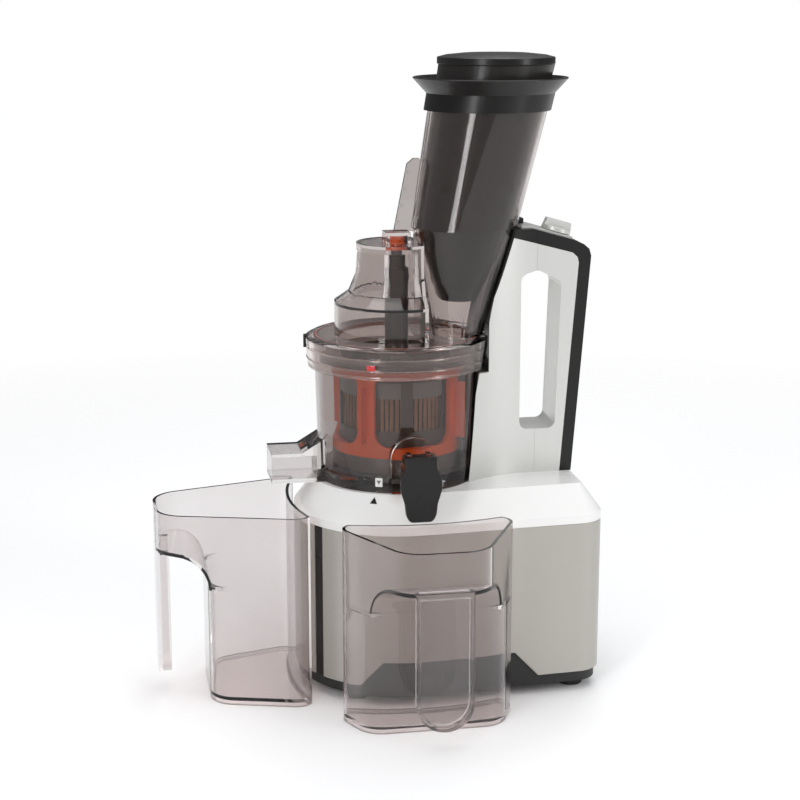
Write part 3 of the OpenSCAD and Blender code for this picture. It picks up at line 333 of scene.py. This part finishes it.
def finish(key):
    """The material of that name, made the first time it is asked for."""
    if key not in MATERIALS:
        c = bpy.context.scene.juicer_colours
        shell, silver, panel, dark = tuple(c.shell), tuple(c.silver), tuple(c.panel), tuple(c.black)
        orange, smoke, jug = tuple(c.orange), tuple(c.smoke), tuple(c.jug)
        MATERIALS[key] = {
            "shell": lambda: moulded("pearl_shell", shell, 0.3, 0.0, 0.35, 0.08, 2600, 0.012),
            "silver": lambda: metal_paint("silver_paint", silver, 0.36, 0.3),
            "panel": lambda: metal_paint("panel_paint", panel, 0.42, 0.45),
            "black": lambda: moulded("gloss_black", dark, 0.3, 0.0, 0.05, 0.1, 2100, 0.1, 0.3),
            "matt_black": lambda: moulded("matt_black", tone(dark, 1.1), 0.5, 0.0, 0.0, 0.5, 1300, 0.12),
            "rubber": lambda: soft_rubber("black_rubber", tone(dark, 0.9), 0.68),
            "orange": lambda: moulded("orange_nylon", orange, 0.38, 0.0, 0.1, 0.15, 1700, 0.06),
            "silicone": lambda: soft_rubber("orange_silicone", orange, 0.5),
            "smoke": lambda: smoked("smoked_bowl", smoke, tone(smoke, 0.42), 0.03,
                                    ("X", -1.0, spot(-SPOUT_FROM, 0, 0).x, (0.79, 0.765, 0.76))),
            "smoke_lid": lambda: smoked("smoked_lid", tone(smoke, 1.12), tone(smoke, 0.4), 0.03,
                                        ("Z", *COLLAR_BAND, tone(smoke, 1.6))),
            "smoke_fin": lambda: smoked("smoked_fin", tone(smoke, 0.82), tone(smoke, 0.3)),
            "smoke_bead": lambda: smoked("smoked_bead", tone(smoke, 1.7), tone(smoke, 0.8)),
            "strainer_pale": lambda: moulded("strainer_collar", (0.2, 0.19, 0.18), 0.35, 0.0, 0.2, 0.2, 1500,
                                             0.12),
            "grey": lambda: moulded("grey_print", (0.16, 0.16, 0.165), 0.45, 0.0, 0.0, 0.1, 1800, 0.05),
            "jug": lambda: smoked("clear_jug", jug, tone(jug, 0.33)),
            "pusher": lambda: moulded("brown_pusher", (0.022, 0.02, 0.0185), 0.3, 0.0, 0.05, 0.1, 1800, 0.08,
                                      0.3),
            "white": lambda: moulded("white_acetal", (0.8, 0.79, 0.76), 0.42, 0.0, 0.0, 0.15, 1900, 0.03),
            "red": lambda: moulded("red_print", (0.55, 0.02, 0.025), 0.42, 0.0, 0.0, 0.1, 1800, 0.05),
            "steel": lambda: metal_sheet("brushed_steel", (0.55, 0.56, 0.57), 0.3),
            "sintered": lambda: sintered("strainer_bronze", (0.32, 0.17, 0.09)),
            "strainer": lambda: moulded("strainer_frame", (0.085, 0.062, 0.05), 0.34, 0.0, 0.1, 0.2, 1500,
                                        0.12),
            "auger": lambda: moulded("auger_resin", (0.04, 0.033, 0.03), 0.3, 0.0, 0.2, 0.1, 1700, 0.1),
            "cast": lambda: metal_sheet("cast_housing", (0.42, 0.43, 0.44), 0.5, (1, 1, 1), 900, 0.8),
            "board": lambda: moulded("board_green", (0.02, 0.17, 0.06), 0.35, 0.0, 0.4, 0.2, 2400, 0.15),
        }[key]()
    return MATERIALS[key]


# ---------- mesh helpers ----------


def new_object(name, mesh):
    """A new object in the scene, at the origin."""
    obj = bpy.data.objects.new(name, mesh)
    bpy.context.scene.collection.objects.link(obj)
    return obj


def object_from(name, bm):
    """A new object from a bmesh, which is freed."""
    mesh = bpy.data.meshes.new(name)
    bm.to_mesh(mesh)
    bm.free()
    return new_object(name, mesh)


def settle(obj):
    """Takes the result of the object's modifiers as its mesh."""
    graph = bpy.context.evaluated_depsgraph_get()
    mesh = bpy.data.meshes.new_from_object(
        obj.evaluated_get(graph), preserve_all_data_layers=True, depsgraph=graph)
    obj.modifiers.clear()
    obj.data = mesh
    return obj


def welded(node):
    """A frame node's shape as one closed mesh, its flat areas each a single face."""
    bm = bmesh.new()
    bm.from_mesh(NODES[node].data)
    bmesh.ops.remove_doubles(bm, verts=bm.verts, dist=WELD)
    bmesh.ops.dissolve_limit(bm, angle_limit=FLAT, verts=bm.verts, edges=bm.edges)
    mesh = bpy.data.meshes.new(node)
    bm.to_mesh(mesh)
    bm.free()
    return mesh


def smooth(mesh):
    """Smooth shading that keeps the sharp edges."""
    mesh.shade_smooth()
    mesh.set_sharp_from_angle(angle=CREASE)


def round_edges(obj, width, steps, angle=30):
    """Rounds the edges that turn more than the angle; width in millimetres."""
    bevel = obj.modifiers.new("edges", "BEVEL")
    bevel.width = width * MM
    bevel.segments = steps
    bevel.limit_method = "ANGLE"
    bevel.angle_limit = math.radians(angle)
    bevel.miter_outer = "MITER_ARC"
    bevel.use_clamp_overlap = True
    settle(obj)
    smooth(obj.data)
    even = obj.modifiers.new("normals", "WEIGHTED_NORMAL")
    even.keep_sharp = True
    return settle(obj)


def belongs(obj, material, body, slot, *nodes):
    """Paints a piece, ties it to its body and hides the nodes it stands for. The slot is not used."""
    obj.data.materials.clear()
    obj.data.materials.append(finish(material))
    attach(obj, body)
    if nodes:
        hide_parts(*nodes)
    return obj


def slot_of(node):
    """The material slot that the record gives a node."""
    return next(s["material_slot"] for s in frame["record"]["subparts"] if s["node"] == node)


def dress(node, material, width, steps):
    """The node's own shape with rounded edges, in its place."""
    obj = new_object(node + "_dressed", welded(node))
    round_edges(obj, width, steps)
    return belongs(obj, material, body_of(NODES[node])[0], slot_of(node), node)


def paint(node, material):
    """Gives a frame node its finish and leaves its shape."""
    mesh = NODES[node].data
    mesh.materials.clear()
    mesh.materials.append(finish(material))


def rounded_outline(points, radii, steps):
    """A closed outline with each corner rounded by its own radius."""
    result = []
    count = len(points)
    for i, corner in enumerate(points):
        corner = Vector(corner)
        before, after = Vector(points[i - 1]) - corner, Vector(points[(i + 1) % count]) - corner
        half = before.angle(after) / 2
        reach = min(radii[i] / math.tan(half), before.length * 0.49, after.length * 0.49)
        start, end = corner + before.normalized() * reach, corner + after.normalized() * reach
        for k in range(steps + 1):
            t = k / steps
            result.append(start * (1 - t) ** 2 + corner * (2 * t * (1 - t)) + end * t ** 2)
    return result


def circle(radius, height, count):
    """Points on a level circle about the bowl's axis, in metres, and the edges that close it."""
    turn = 2 * math.pi / count
    points = [spot(radius * math.cos(turn * k), radius * math.sin(turn * k), height) for k in range(count)]
    return points, [(k, (k + 1) % count) for k in range(count)]


def lathe(name, outline):
    """Turns a closed outline of (radius, height) millimetres about the bowl's axis."""
    bm = bmesh.new()
    rings = [[bm.verts.new(point) for point in circle(r, z, ROUND)[0]] for r, z in outline]
    for ring, following in zip(rings, rings[1:] + rings[:1]):
        for k in range(ROUND):
            j = (k + 1) % ROUND
            bm.faces.new([ring[k], ring[j], following[j], following[k]])
    bmesh.ops.recalc_face_normals(bm, faces=bm.faces)
    turned = object_from(name, bm)
    smooth(turned.data)
    return turned


def plate(name, outline, front, back):
    """A flat piece whose outline of (x, z) millimetres faces -y, from y = front to y = back."""
    bm = bmesh.new()
    faces = [[bm.verts.new(spot(x, y, z)) for x, z in outline] for y in (front, back)]
    for ring in faces:
        bm.faces.new(ring)
    count = len(outline)
    for k in range(count):
        bm.faces.new([faces[0][k], faces[0][(k + 1) % count], faces[1][(k + 1) % count], faces[1][k]])
    bmesh.ops.recalc_face_normals(bm, faces=bm.faces)
    return object_from(name, bm)


def joined(name, parts):
    """One object with the meshes of all parts."""
    bm = bmesh.new()
    for part in parts:
        bm.from_mesh(part.data)
        bpy.data.objects.remove(part)
    whole = object_from(name, bm)
    smooth(whole.data)
    return whole


def pierced_ring(name, outer, inner, low, high, windows, step=2.2):
    """A ring of sheet in millimetres; each window is a closed outline of (distance round, height)."""
    around = 2 * math.pi * outer
    columns, rows = round(around / step), max(2, round((high - low) / step))
    points = [Vector((around * i / columns, low + (high - low) * j / rows))
              for i in range(columns + 1) for j in range(rows + 1)]
    edges = []
    clear = step * 0.35
    for outline in windows:
        points = [p for p in points if min((p - q).length for q in outline) > clear]
    for outline in windows:
        first, count = len(points), len(outline)
        points += outline
        edges += [(first + k, first + (k + 1) % count) for k in range(count)]
    verts, _, faces, *_ = delaunay_2d_cdt(points, edges, [], 0, TOUCH)

    def open_at(p):
        return any(
            sum((a.y > p.y) != (b.y > p.y) and p.x < (b.x - a.x) * (p.y - a.y) / (b.y - a.y) + a.x
                for a, b in zip(outline, outline[1:] + outline[:1])) % 2
            for outline in windows
        )

    bm = bmesh.new()
    bent = [bm.verts.new(spot(outer * math.cos(v.x / outer), outer * math.sin(v.x / outer), v.y))
            for v in verts]
    for face in faces:
        if not open_at(sum((verts[i] for i in face), Vector((0, 0))) / len(face)):
            bm.faces.new([bent[i] for i in face])
    bmesh.ops.delete(bm, geom=[v for v in bm.verts if not v.link_faces], context="VERTS")
    bmesh.ops.remove_doubles(bm, verts=bm.verts, dist=SEAM)
    bmesh.ops.recalc_face_normals(bm, faces=bm.faces)
    centre = spot(0, 0, (low + high) / 2)
    some = next(iter(bm.faces))
    outward = some.calc_center_median() - centre
    if some.normal.dot(Vector((outward.x, outward.y, 0))) < 0:
        bmesh.ops.reverse_faces(bm, faces=bm.faces)
    obj = object_from(name, bm)
    thick = obj.modifiers.new("thickness", "SOLIDIFY")
    thick.thickness = (outer - inner) * MM
    thick.offset = -1
    settle(obj)
    smooth(obj.data)
    return obj


class Nodes:
    """A geometry node group that is built in code and used as a modifier."""

    def __init__(self, name, inputs):
        self.tree = bpy.data.node_groups.new(name, "GeometryNodeTree")
        face = self.tree.interface
        face.new_socket(name="Geometry", in_out="OUTPUT", socket_type="NodeSocketGeometry")
        face.new_socket(name="Geometry", in_out="INPUT", socket_type="NodeSocketGeometry")
        for key, kind in inputs.items():
            face.new_socket(name=key, in_out="INPUT", socket_type="NodeSocket" + kind)
        self.start = self.tree.nodes.new("NodeGroupInput")
        self.finish = self.tree.nodes.new("NodeGroupOutput")

    def add(self, kind, settings=None, inputs=None):
        node = self.tree.nodes.new(kind)
        for key, value in (settings or {}).items():
            setattr(node, key, value)
        for key, value in (inputs or {}).items():
            if isinstance(value, bpy.types.NodeSocket):
                self.tree.links.new(value, node.inputs[key])
            else:
                node.inputs[key].default_value = value
        return node.outputs[0]

    def end(self, geometry):
        real = self.add("GeometryNodeRealizeInstances", None, {"Geometry": geometry})
        material = self.start.outputs["Material"]
        done = self.add("GeometryNodeSetMaterial", None, {"Geometry": real, "Material": material})
        self.tree.links.new(done, self.finish.inputs[0])
        return self.tree


def studs_group():
    """A small round stud on each point, its axis pointing away from an upright line."""
    g = Nodes("studs_on_points", {
        "Centre": "Vector", "Radius": "Float", "Length": "Float", "Material": "Material"})
    place = g.add("GeometryNodeInputPosition")
    away = g.add("ShaderNodeVectorMath", {"operation": "SUBTRACT"}, {0: place, 1: g.start.outputs["Centre"]})
    away = g.add("ShaderNodeVectorMath", {"operation": "MULTIPLY"}, {0: away, 1: (1, 1, 0)})
    turn = g.add("FunctionNodeAlignRotationToVector", {"axis": "Z"}, {"Vector": away})
    stud = g.add("GeometryNodeMeshCylinder", None, {
        "Vertices": 20, "Radius": g.start.outputs["Radius"], "Depth": g.start.outputs["Length"]})
    copies = g.add("GeometryNodeInstanceOnPoints", None, {
        "Points": g.start.outputs["Geometry"], "Instance": stud, "Rotation": turn})
    return g.end(copies)


def bead_group():
    """A round bead along each line of edges."""
    g = Nodes("bead_on_path", {"Radius": "Float", "Material": "Material"})
    path = g.add("GeometryNodeMeshToCurve", None, {"Mesh": g.start.outputs["Geometry"]})
    ring = g.add("GeometryNodeCurvePrimitiveCircle", None, {
        "Resolution": 12, "Radius": g.start.outputs["Radius"]})
    swept = g.add("GeometryNodeCurveToMesh", None, {"Curve": path, "Profile Curve": ring, "Fill Caps": True})
    return g.end(swept)


GROUPS = {}


def grown(name, points, edges, group, material, **values):
    """A plain mesh that a geometry node group makes from points in metres and edges."""
    if group not in GROUPS:
        GROUPS[group] = group()
    tree = GROUPS[group]
    mesh = bpy.data.meshes.new(name)
    mesh.from_pydata([tuple(p) for p in points], edges, [])
    obj = new_object(name, mesh)
    modifier = obj.modifiers.new("grow", "NODES")
    modifier.node_group = tree
    values["Material"] = finish(material)
    for item in tree.interface.items_tree:
        if item.item_type == "SOCKET" and item.in_out == "INPUT" and item.name in values:
            modifier[item.identifier] = values[item.name]
    settle(obj)
    smooth(obj.data)
    return obj


# ---------- sizes and colours that a user may change ----------


class JuicerSizes(bpy.types.PropertyGroup):
    shell_edge: FloatProperty(name="Shell edge", description="Rounding of the shell's edges, in millimetres",
                              default=1.6, min=0.2, max=3.0)
    cover_edge: FloatProperty(name="Tower edge", description="Rounding of the covers' edges, in millimetres",
                              default=1.1, min=0.2, max=2.0)
    clear_edge: FloatProperty(name="Clear edge", description="Rounding of the clear edges, in millimetres",
                              default=0.5, min=0.1, max=1.0)
    stud_count: IntProperty(name="Ring studs", description="Small studs round the orange ring",
                            default=56, min=12, max=90)
    floor_size: FloatProperty(name="Floor", description="Half the width of the studio floor",
                              default=3.0, min=1.0, unit="LENGTH")


class JuicerColours(bpy.types.PropertyGroup):
    shell: FloatVectorProperty(name="Shell", description="White top shell", subtype="COLOR",
                               default=(0.80, 0.795, 0.78), min=0, max=1)
    silver: FloatVectorProperty(name="Silver", description="Silver tower covers and trim", subtype="COLOR",
                                default=(0.62, 0.62, 0.595), min=0, max=1)
    panel: FloatVectorProperty(name="Panels", description="Grey side panels", subtype="COLOR",
                               default=(0.43, 0.41, 0.375), min=0, max=1)
    black: FloatVectorProperty(name="Black", description="Black plastic", subtype="COLOR",
                               default=(0.011, 0.0105, 0.01), min=0, max=1)
    orange: FloatVectorProperty(name="Orange", description="Orange wiper and silicone", subtype="COLOR",
                                default=(0.86, 0.125, 0.012), min=0, max=1)
    smoke: FloatVectorProperty(name="Smoke", description="Tint of the bowl and the lid", subtype="COLOR",
                               default=(0.54, 0.495, 0.48), min=0, max=1)
    jug: FloatVectorProperty(name="Jugs", description="Tint of the two jugs", subtype="COLOR",
                             default=(0.835, 0.80, 0.795), min=0, max=1)


class JUICER_OT_stage(bpy.types.Operator):
    """Floor, light, sky and camera."""

    bl_idname = "juicer.stage"
    bl_label = "Stage"

    def execute(self, context):
        scene = context.scene
        half = scene.juicer_sizes.floor_size
        mesh = bpy.data.meshes.new("floor")
        corners = [(-half, -half, 0), (half, -half, 0), (half, half, 0), (-half, half, 0)]
        mesh.from_pydata(corners, [], [(0, 1, 2, 3)])
        floor = new_object("studio_floor", mesh)
        r = Recipe("pale_floor")
        away = r.add("ShaderNodeVectorMath", {"operation": "LENGTH"}, {0: r.place}, out="Value")
        grain = r.noise(300, 3)
        paper = r.principled(Base_Color=r.shade(grain, (0.9, 0.9, 0.9), (0.93, 0.93, 0.93)), Roughness=0.75,
                             Specular_IOR_Level=0.2)
        glow = r.add("ShaderNodeEmission", None, {"Color": (1, 1, 1, 1), "Strength": 1.0})
        surface = r.add("ShaderNodeMixShader", None, {0: away.above(0.85, 0.9), 1: paper, 2: glow})
        mesh.materials.append(r.end(surface))

        world = bpy.data.worlds.new("studio")
        scene.world = world
        world.use_nodes = True
        tree = world.node_tree
        tree.nodes.clear()
        path = tree.nodes.new("ShaderNodeLightPath")
        seen = tree.nodes.new("ShaderNodeMath")
        seen.operation = "MAXIMUM"
        tree.links.new(path.outputs["Is Camera Ray"], seen.inputs[0])
        tree.links.new(path.outputs["Is Transmission Ray"], seen.inputs[1])
        backdrop = tree.nodes.new("ShaderNodeBackground")
        backdrop.inputs["Color"].default_value = (1, 1, 1, 1)
        ambient = tree.nodes.new("ShaderNodeBackground")
        ambient.inputs["Color"].default_value = (0.93, 0.96, 1, 1)
        dimmer = tree.nodes.new("ShaderNodeMath")
        dimmer.operation = "MULTIPLY_ADD"
        tree.links.new(path.outputs["Is Glossy Ray"], dimmer.inputs[0])
        dimmer.inputs[1].default_value = -GLOSSY_DROP
        dimmer.inputs[2].default_value = AMBIENT
        tree.links.new(dimmer.outputs[0], ambient.inputs["Strength"])
        mix = tree.nodes.new("ShaderNodeMixShader")
        output = tree.nodes.new("ShaderNodeOutputWorld")
        tree.links.new(seen.outputs[0], mix.inputs[0])
        tree.links.new(ambient.outputs[0], mix.inputs[1])
        tree.links.new(backdrop.outputs[0], mix.inputs[2])
        tree.links.new(mix.outputs[0], output.inputs["Surface"])

        target = Vector((0, 0, 0.2))
        for name, place, size, power in (
            ("left_softbox", (-1.0, -1.28, 0.75), (0.35, 1.3), 11),
            ("right_softbox", (1.3, -1.1, 0.8), (0.4, 1.3), 10),
            ("top_softbox", (0.1, 0.1, 1.9), (1.8, 1.8), 20),
            ("back_softbox", (0.6, 1.2, 1.9), (1.0, 1.2), 10),
        ):
            lamp = bpy.data.lights.new(name, "AREA")
            lamp.shape = "RECTANGLE"
            lamp.size, lamp.size_y = size
            lamp.energy = power
            obj = bpy.data.objects.new(name, lamp)
            scene.collection.objects.link(obj)
            obj.location = place
            obj.rotation_euler = (target - Vector(place)).to_track_quat("-Z", "Y").to_euler()

        lens = bpy.data.cameras.new("camera")
        lens.sensor_width = 36
        lens.lens = LENS
        lens.clip_start, lens.clip_end = 0.01, 50
        camera = bpy.data.objects.new("camera", lens)
        scene.collection.objects.link(camera)
        camera.location = CAMERA_AT
        camera.rotation_euler = [math.radians(angle) for angle in CAMERA_TURN]
        scene.camera = camera
        scene.view_settings.view_transform = "Standard"
        return {"FINISHED"}


class JUICER_OT_base(bpy.types.Operator):
    """White shell, panels, corner strips, tray and feet."""

    bl_idname = "juicer.base"
    bl_label = "Base"

    def execute(self, context):
        sizes = context.scene.juicer_sizes
        dress("top_shell", "shell", sizes.shell_edge, 4)
        for node in ("front_panel", "near_panel", "far_panel", "rear_panel"):
            dress(node, "panel", 0.6, 2)
        dress("seam_strips", "black", 0.5, 2)
        dress("bottom_tray", "matt_black", 0.6, 2)
        dress("rubber_feet", "rubber", 0.8, 3)
        dress("foot_screws", "steel", 0.2, 2)
        dress("cord_gland", "rubber", 0.5, 2)
        dress("deck_mark", "black", 0.1, 1)
        return {"FINISHED"}


class JUICER_OT_tower(bpy.types.Operator):
    """Tower core, covers, top plate and knob."""

    bl_idname = "juicer.tower"
    bl_label = "Tower"

    def execute(self, context):
        sizes = context.scene.juicer_sizes
        dress("tower_core", "black", 0.8, 3)
        dress("near_tower_cover", "silver", sizes.cover_edge, 3)
        dress("far_tower_cover", "silver", sizes.cover_edge, 3)
        dress("tower_top_plate", "silver", 0.4, 2)
        dress("switch_knob", "silver", 0.6, 3)
        paint("switch_module", "black")
        return {"FINISHED"}


class JUICER_OT_bowl(bpy.types.Operator):
    """Clear bowl, its seals, plugs and marks, and the juice cap."""

    bl_idname = "juicer.bowl"
    bl_label = "Bowl"

    def execute(self, context):
        sizes = context.scene.juicer_sizes
        dress("bowl", "smoke", sizes.clear_edge, 2)
        dress("bowl_seal", "silicone", 0.3, 2)
        dress("pulp_plug", "silicone", 0.3, 2)
        dress("bowl_mark", "white", 0.15, 2)
        self.mark_arrow()
        dress("cap_hinge_pin", "steel", 0.2, 2)
        self.juice_cap()
        dress("cap_seal", "silicone", 0.3, 2)
        return {"FINISHED"}

    def mark_arrow(self):
        """Small grey triangle, point down, printed on the bowl's white mark."""
        mark = middle("bowl_mark")
        away = Vector((mark.x - AXIS.x, mark.y - AXIS.y, 0)).normalized()
        across = Vector((-away.y, away.x, 0))
        face = max((v.co - AXIS).dot(away) for v in NODES["bowl_mark"].data.vertices)
        corners = ((-1.7, 1.4), (1.7, 1.4), (0, -1.5))
        sunk, proud = -0.05, 0.06
        bm = bmesh.new()
        ends = []
        for depth in (sunk * MM, proud * MM):
            centre = Vector((AXIS.x, AXIS.y, mark.z)) + away * (face + depth)
            ends.append([bm.verts.new(centre + across * (x * MM) + Vector((0, 0, z * MM)))
                         for x, z in corners])
            bm.faces.new(ends[-1])
        for k in range(3):
            j = (k + 1) % 3
            bm.faces.new([ends[0][k], ends[0][j], ends[1][j], ends[1][k]])
        bmesh.ops.recalc_face_normals(bm, faces=bm.faces)
        arrow = object_from("mark_arrow", bm)
        belongs(arrow, "grey", body_of(NODES["bowl_mark"])[0], slot_of("bowl_mark"))

    def juice_cap(self):
        """Rounded cap plate with a long tab, on three knuckles of its hinge."""
        outline = [(-11, 190), (-11, 182), (-14.5, 175), (-14.5, 167), (-11.4, 157), (-10.6, 149),
                   (-8, 144.2)]
        outline += [(-x, z) for x, z in reversed(outline)]
        radii = [1.5, 8, 7, 8, 12, 12, 6]
        front, back = -98.2, -92.9
        body = plate("cap_plate", rounded_outline(outline, radii + radii[::-1], 8), front, back)
        round_edges(body, 1.7, 5, 40)
        parts = [body]
        low, high = HINGE_Z - 2.8, HINGE_Z + 2.8
        for x0, x1 in ((-11, -9.1), (-4.9, 4.9), (9.1, 11)):
            block = plate("cap_knuckle", [(x0, low), (x1, low), (x1, high), (x0, high)], back - 1.6, HINGE_Y)
            parts += [block, self.barrel(x0, x1)]
        cap = joined("juice_cap_finished", parts)
        belongs(cap, "black", body_of(NODES["juice_cap"])[0], slot_of("juice_cap"), "juice_cap")

    def barrel(self, x0, x1):
        """A hinge knuckle from x0 to x1."""
        r = 3.1 * MM
        bm = bmesh.new()
        bmesh.ops.create_cone(bm, cap_ends=True, segments=32, radius1=r, radius2=r, depth=(x1 - x0) * MM)
        centre = Matrix.Translation(spot((x0 + x1) / 2, HINGE_Y, HINGE_Z))
        bm.transform(centre @ Matrix.Rotation(math.pi / 2, 4, "Y"))
        return object_from("barrel", bm)


class JUICER_OT_strainer(bpy.types.Operator):
    """Strainer, wiper, auger and the gears of the bowl."""

    bl_idname = "juicer.strainer"
    bl_label = "Strainer and auger"

    def execute(self, context):
        dress("strainer_frame", "strainer", 0.4, 2)
        paint("strainer_mesh", "sintered")
        self.strainer_bands()
        self.wiper(context.scene.juicer_sizes)
        dress("wiper_blades", "silicone", 0.2, 2)
        paint("auger", "auger")
        paint("auger_gear", "white")
        paint("idler_gear_near", "white")
        paint("idler_gear_far", "white")
        paint("idler_pins", "steel")
        paint("hex_socket", "steel")
        return {"FINISHED"}

    def strainer_bands(self):
        """The plain bands above and below the strainer's fine windows."""
        body, slot = body_of(NODES["strainer_frame"])[0], slot_of("strainer_frame")
        inner, outer = STRAINER_BAND
        for name, low, high, material in (
            ("lower", 183.2, 194.5, "strainer"), ("upper", 218.5, 229.8, "strainer_pale"),
        ):
            section = [(inner, low), (outer, low), (outer, high), (inner, high)]
            belongs(lathe("strainer_band_" + name, section), material, body, slot)

    def wiper(self, sizes):
        """Orange cage with round-cornered windows on a dark geared foot."""
        body, slot = body_of(NODES["wiper_frame"])[0], slot_of("wiper_frame")
        half_arm, low, high = 6.6, 184, 232.5
        quarter = math.pi / 2 * CAGE_OUT
        windows = []
        for k in range(4):
            first, last = quarter * k + half_arm, quarter * (k + 1) - half_arm
            corners = [(first, low), (last, low), (last, high), (first, high)]
            windows.append(rounded_outline(corners, [12, 12, 4, 4], 6))
        cage = pierced_ring("wiper_cage", CAGE_OUT, CAGE_IN, CAGE_LOW, CAGE_HIGH, windows)
        centre = Matrix.Translation(spot(0, 0, 0))
        cage.data.transform(centre @ Matrix.Rotation(ARM_ANGLE, 4, "Z") @ centre.inverted())
        round_edges(cage, 0.5, 2, 50)
        belongs(cage, "orange", body, slot, "wiper_frame")
        section = [(44.9, 164.7), (46.3, 164.7), (46.7, 165.1), (46.7, 175.6), (46.2, 176.4), (43.5, 176.4),
                   (43.5, 174.2), (44.9, 174.2)]
        belongs(lathe("wiper_foot", section), "strainer", body, slot)
        points, _ = circle(STUD_RING, STUD_HEIGHT, sizes.stud_count)
        studs = grown("wiper_studs", points, [], studs_group, "strainer",
                      Centre=spot(0, 0, 0), Radius=0.9 * MM, Length=1.6 * MM)
        belongs(studs, "strainer", body, slot)


class JUICER_OT_lid(bpy.types.Operator):
    """Clear lid with its chute, hopper rim, fin, bush and catches."""

    bl_idname = "juicer.lid"
    bl_label = "Lid and chute"

    def execute(self, context):
        sizes = context.scene.juicer_sizes
        dress("lid", "smoke_lid", sizes.clear_edge, 2)
        dress("lid_gasket", "silicone", 0.2, 2)
        dress("hopper_rim", "black", 0.5, 3)
        dress("lid_fin", "smoke_fin", 0.5, 2)
        dress("axis_bush", "silicone", 0.4, 3)
        dress("lid_catches", "black", 0.4, 2)
        dress("lid_mark", "red", 0.15, 2)
        body, slot = body_of(NODES["lid"])[0], slot_of("lid")
        for k, (radius, height) in enumerate(BEAD_RINGS):
            points, edges = circle(radius, height, BEAD_STEPS)
            bead = grown(f"collar_bead_{k}", points, edges, bead_group, "smoke_bead", Radius=BEAD * MM)
            belongs(bead, "smoke_bead", body, slot)
        return {"FINISHED"}


class JUICER_OT_pusher(bpy.types.Operator):
    """Hollow pusher and its cap."""

    bl_idname = "juicer.pusher"
    bl_label = "Pusher"

    def execute(self, context):
        dress("pusher", "pusher", 0.5, 2)
        dress("pusher_cap", "black", 0.8, 3)
        return {"FINISHED"}


class JUICER_OT_jugs(bpy.types.Operator):
    """The two clear jugs."""

    bl_idname = "juicer.jugs"
    bl_label = "Jugs"

    def execute(self, context):
        sizes = context.scene.juicer_sizes
        dress("juice_jug", "jug", sizes.clear_edge, 3)
        dress("pulp_jug", "jug", sizes.clear_edge, 3)
        return {"FINISHED"}


class JUICER_OT_drive(bpy.types.Operator):
    """Motor, gearbox, spindle, fan and board inside the base."""

    bl_idname = "juicer.drive"
    bl_label = "Drive"

    def execute(self, context):
        for node, material in (
            ("motor_stator", "cast"), ("motor_rotor", "steel"), ("cooling_fan", "matt_black"),
            ("motor_pinion", "steel"), ("gearbox_base", "cast"), ("gearbox_cover", "cast"),
            ("gearbox_screws", "steel"), ("intermediate_gear", "white"), ("output_gear", "white"),
            ("drive_spindle", "steel"), ("spindle_bearing", "steel"), ("spindle_seal", "rubber"),
            ("control_board", "board"),
        ):
            paint(node, material)
        return {"FINISHED"}


OPERATORS = (
    JUICER_OT_stage, JUICER_OT_base, JUICER_OT_tower, JUICER_OT_bowl, JUICER_OT_strainer,
    JUICER_OT_lid, JUICER_OT_pusher, JUICER_OT_jugs, JUICER_OT_drive,
)


class JUICER_PT_panel(bpy.types.Panel):
    """Buttons that build the juicer, piece by piece."""

    bl_idname = "JUICER_PT_panel"
    bl_label = "Juicer"
    bl_space_type = "VIEW_3D"
    bl_region_type = "UI"
    bl_category = "Juicer"

    def draw(self, context):
        for group in (context.scene.juicer_sizes, context.scene.juicer_colours):
            for name in group.__annotations__:
                self.layout.prop(group, name)
        for operator in OPERATORS:
            self.layout.operator(operator.bl_idname)


CLASSES = (JuicerSizes, JuicerColours, *OPERATORS, JUICER_PT_panel)


def register():
    for cls in CLASSES:
        bpy.utils.register_class(cls)
    bpy.types.Scene.juicer_sizes = PointerProperty(type=JuicerSizes)
    bpy.types.Scene.juicer_colours = PointerProperty(type=JuicerColours)


def unregister():
    del bpy.types.Scene.juicer_colours
    del bpy.types.Scene.juicer_sizes
    for cls in reversed(CLASSES):
        bpy.utils.unregister_class(cls)


def main():
    register()
    for operator in OPERATORS:
        group, name = operator.bl_idname.split(".")
        getattr(getattr(bpy.ops, group), name)()


if __name__ == "__main__":
    main()
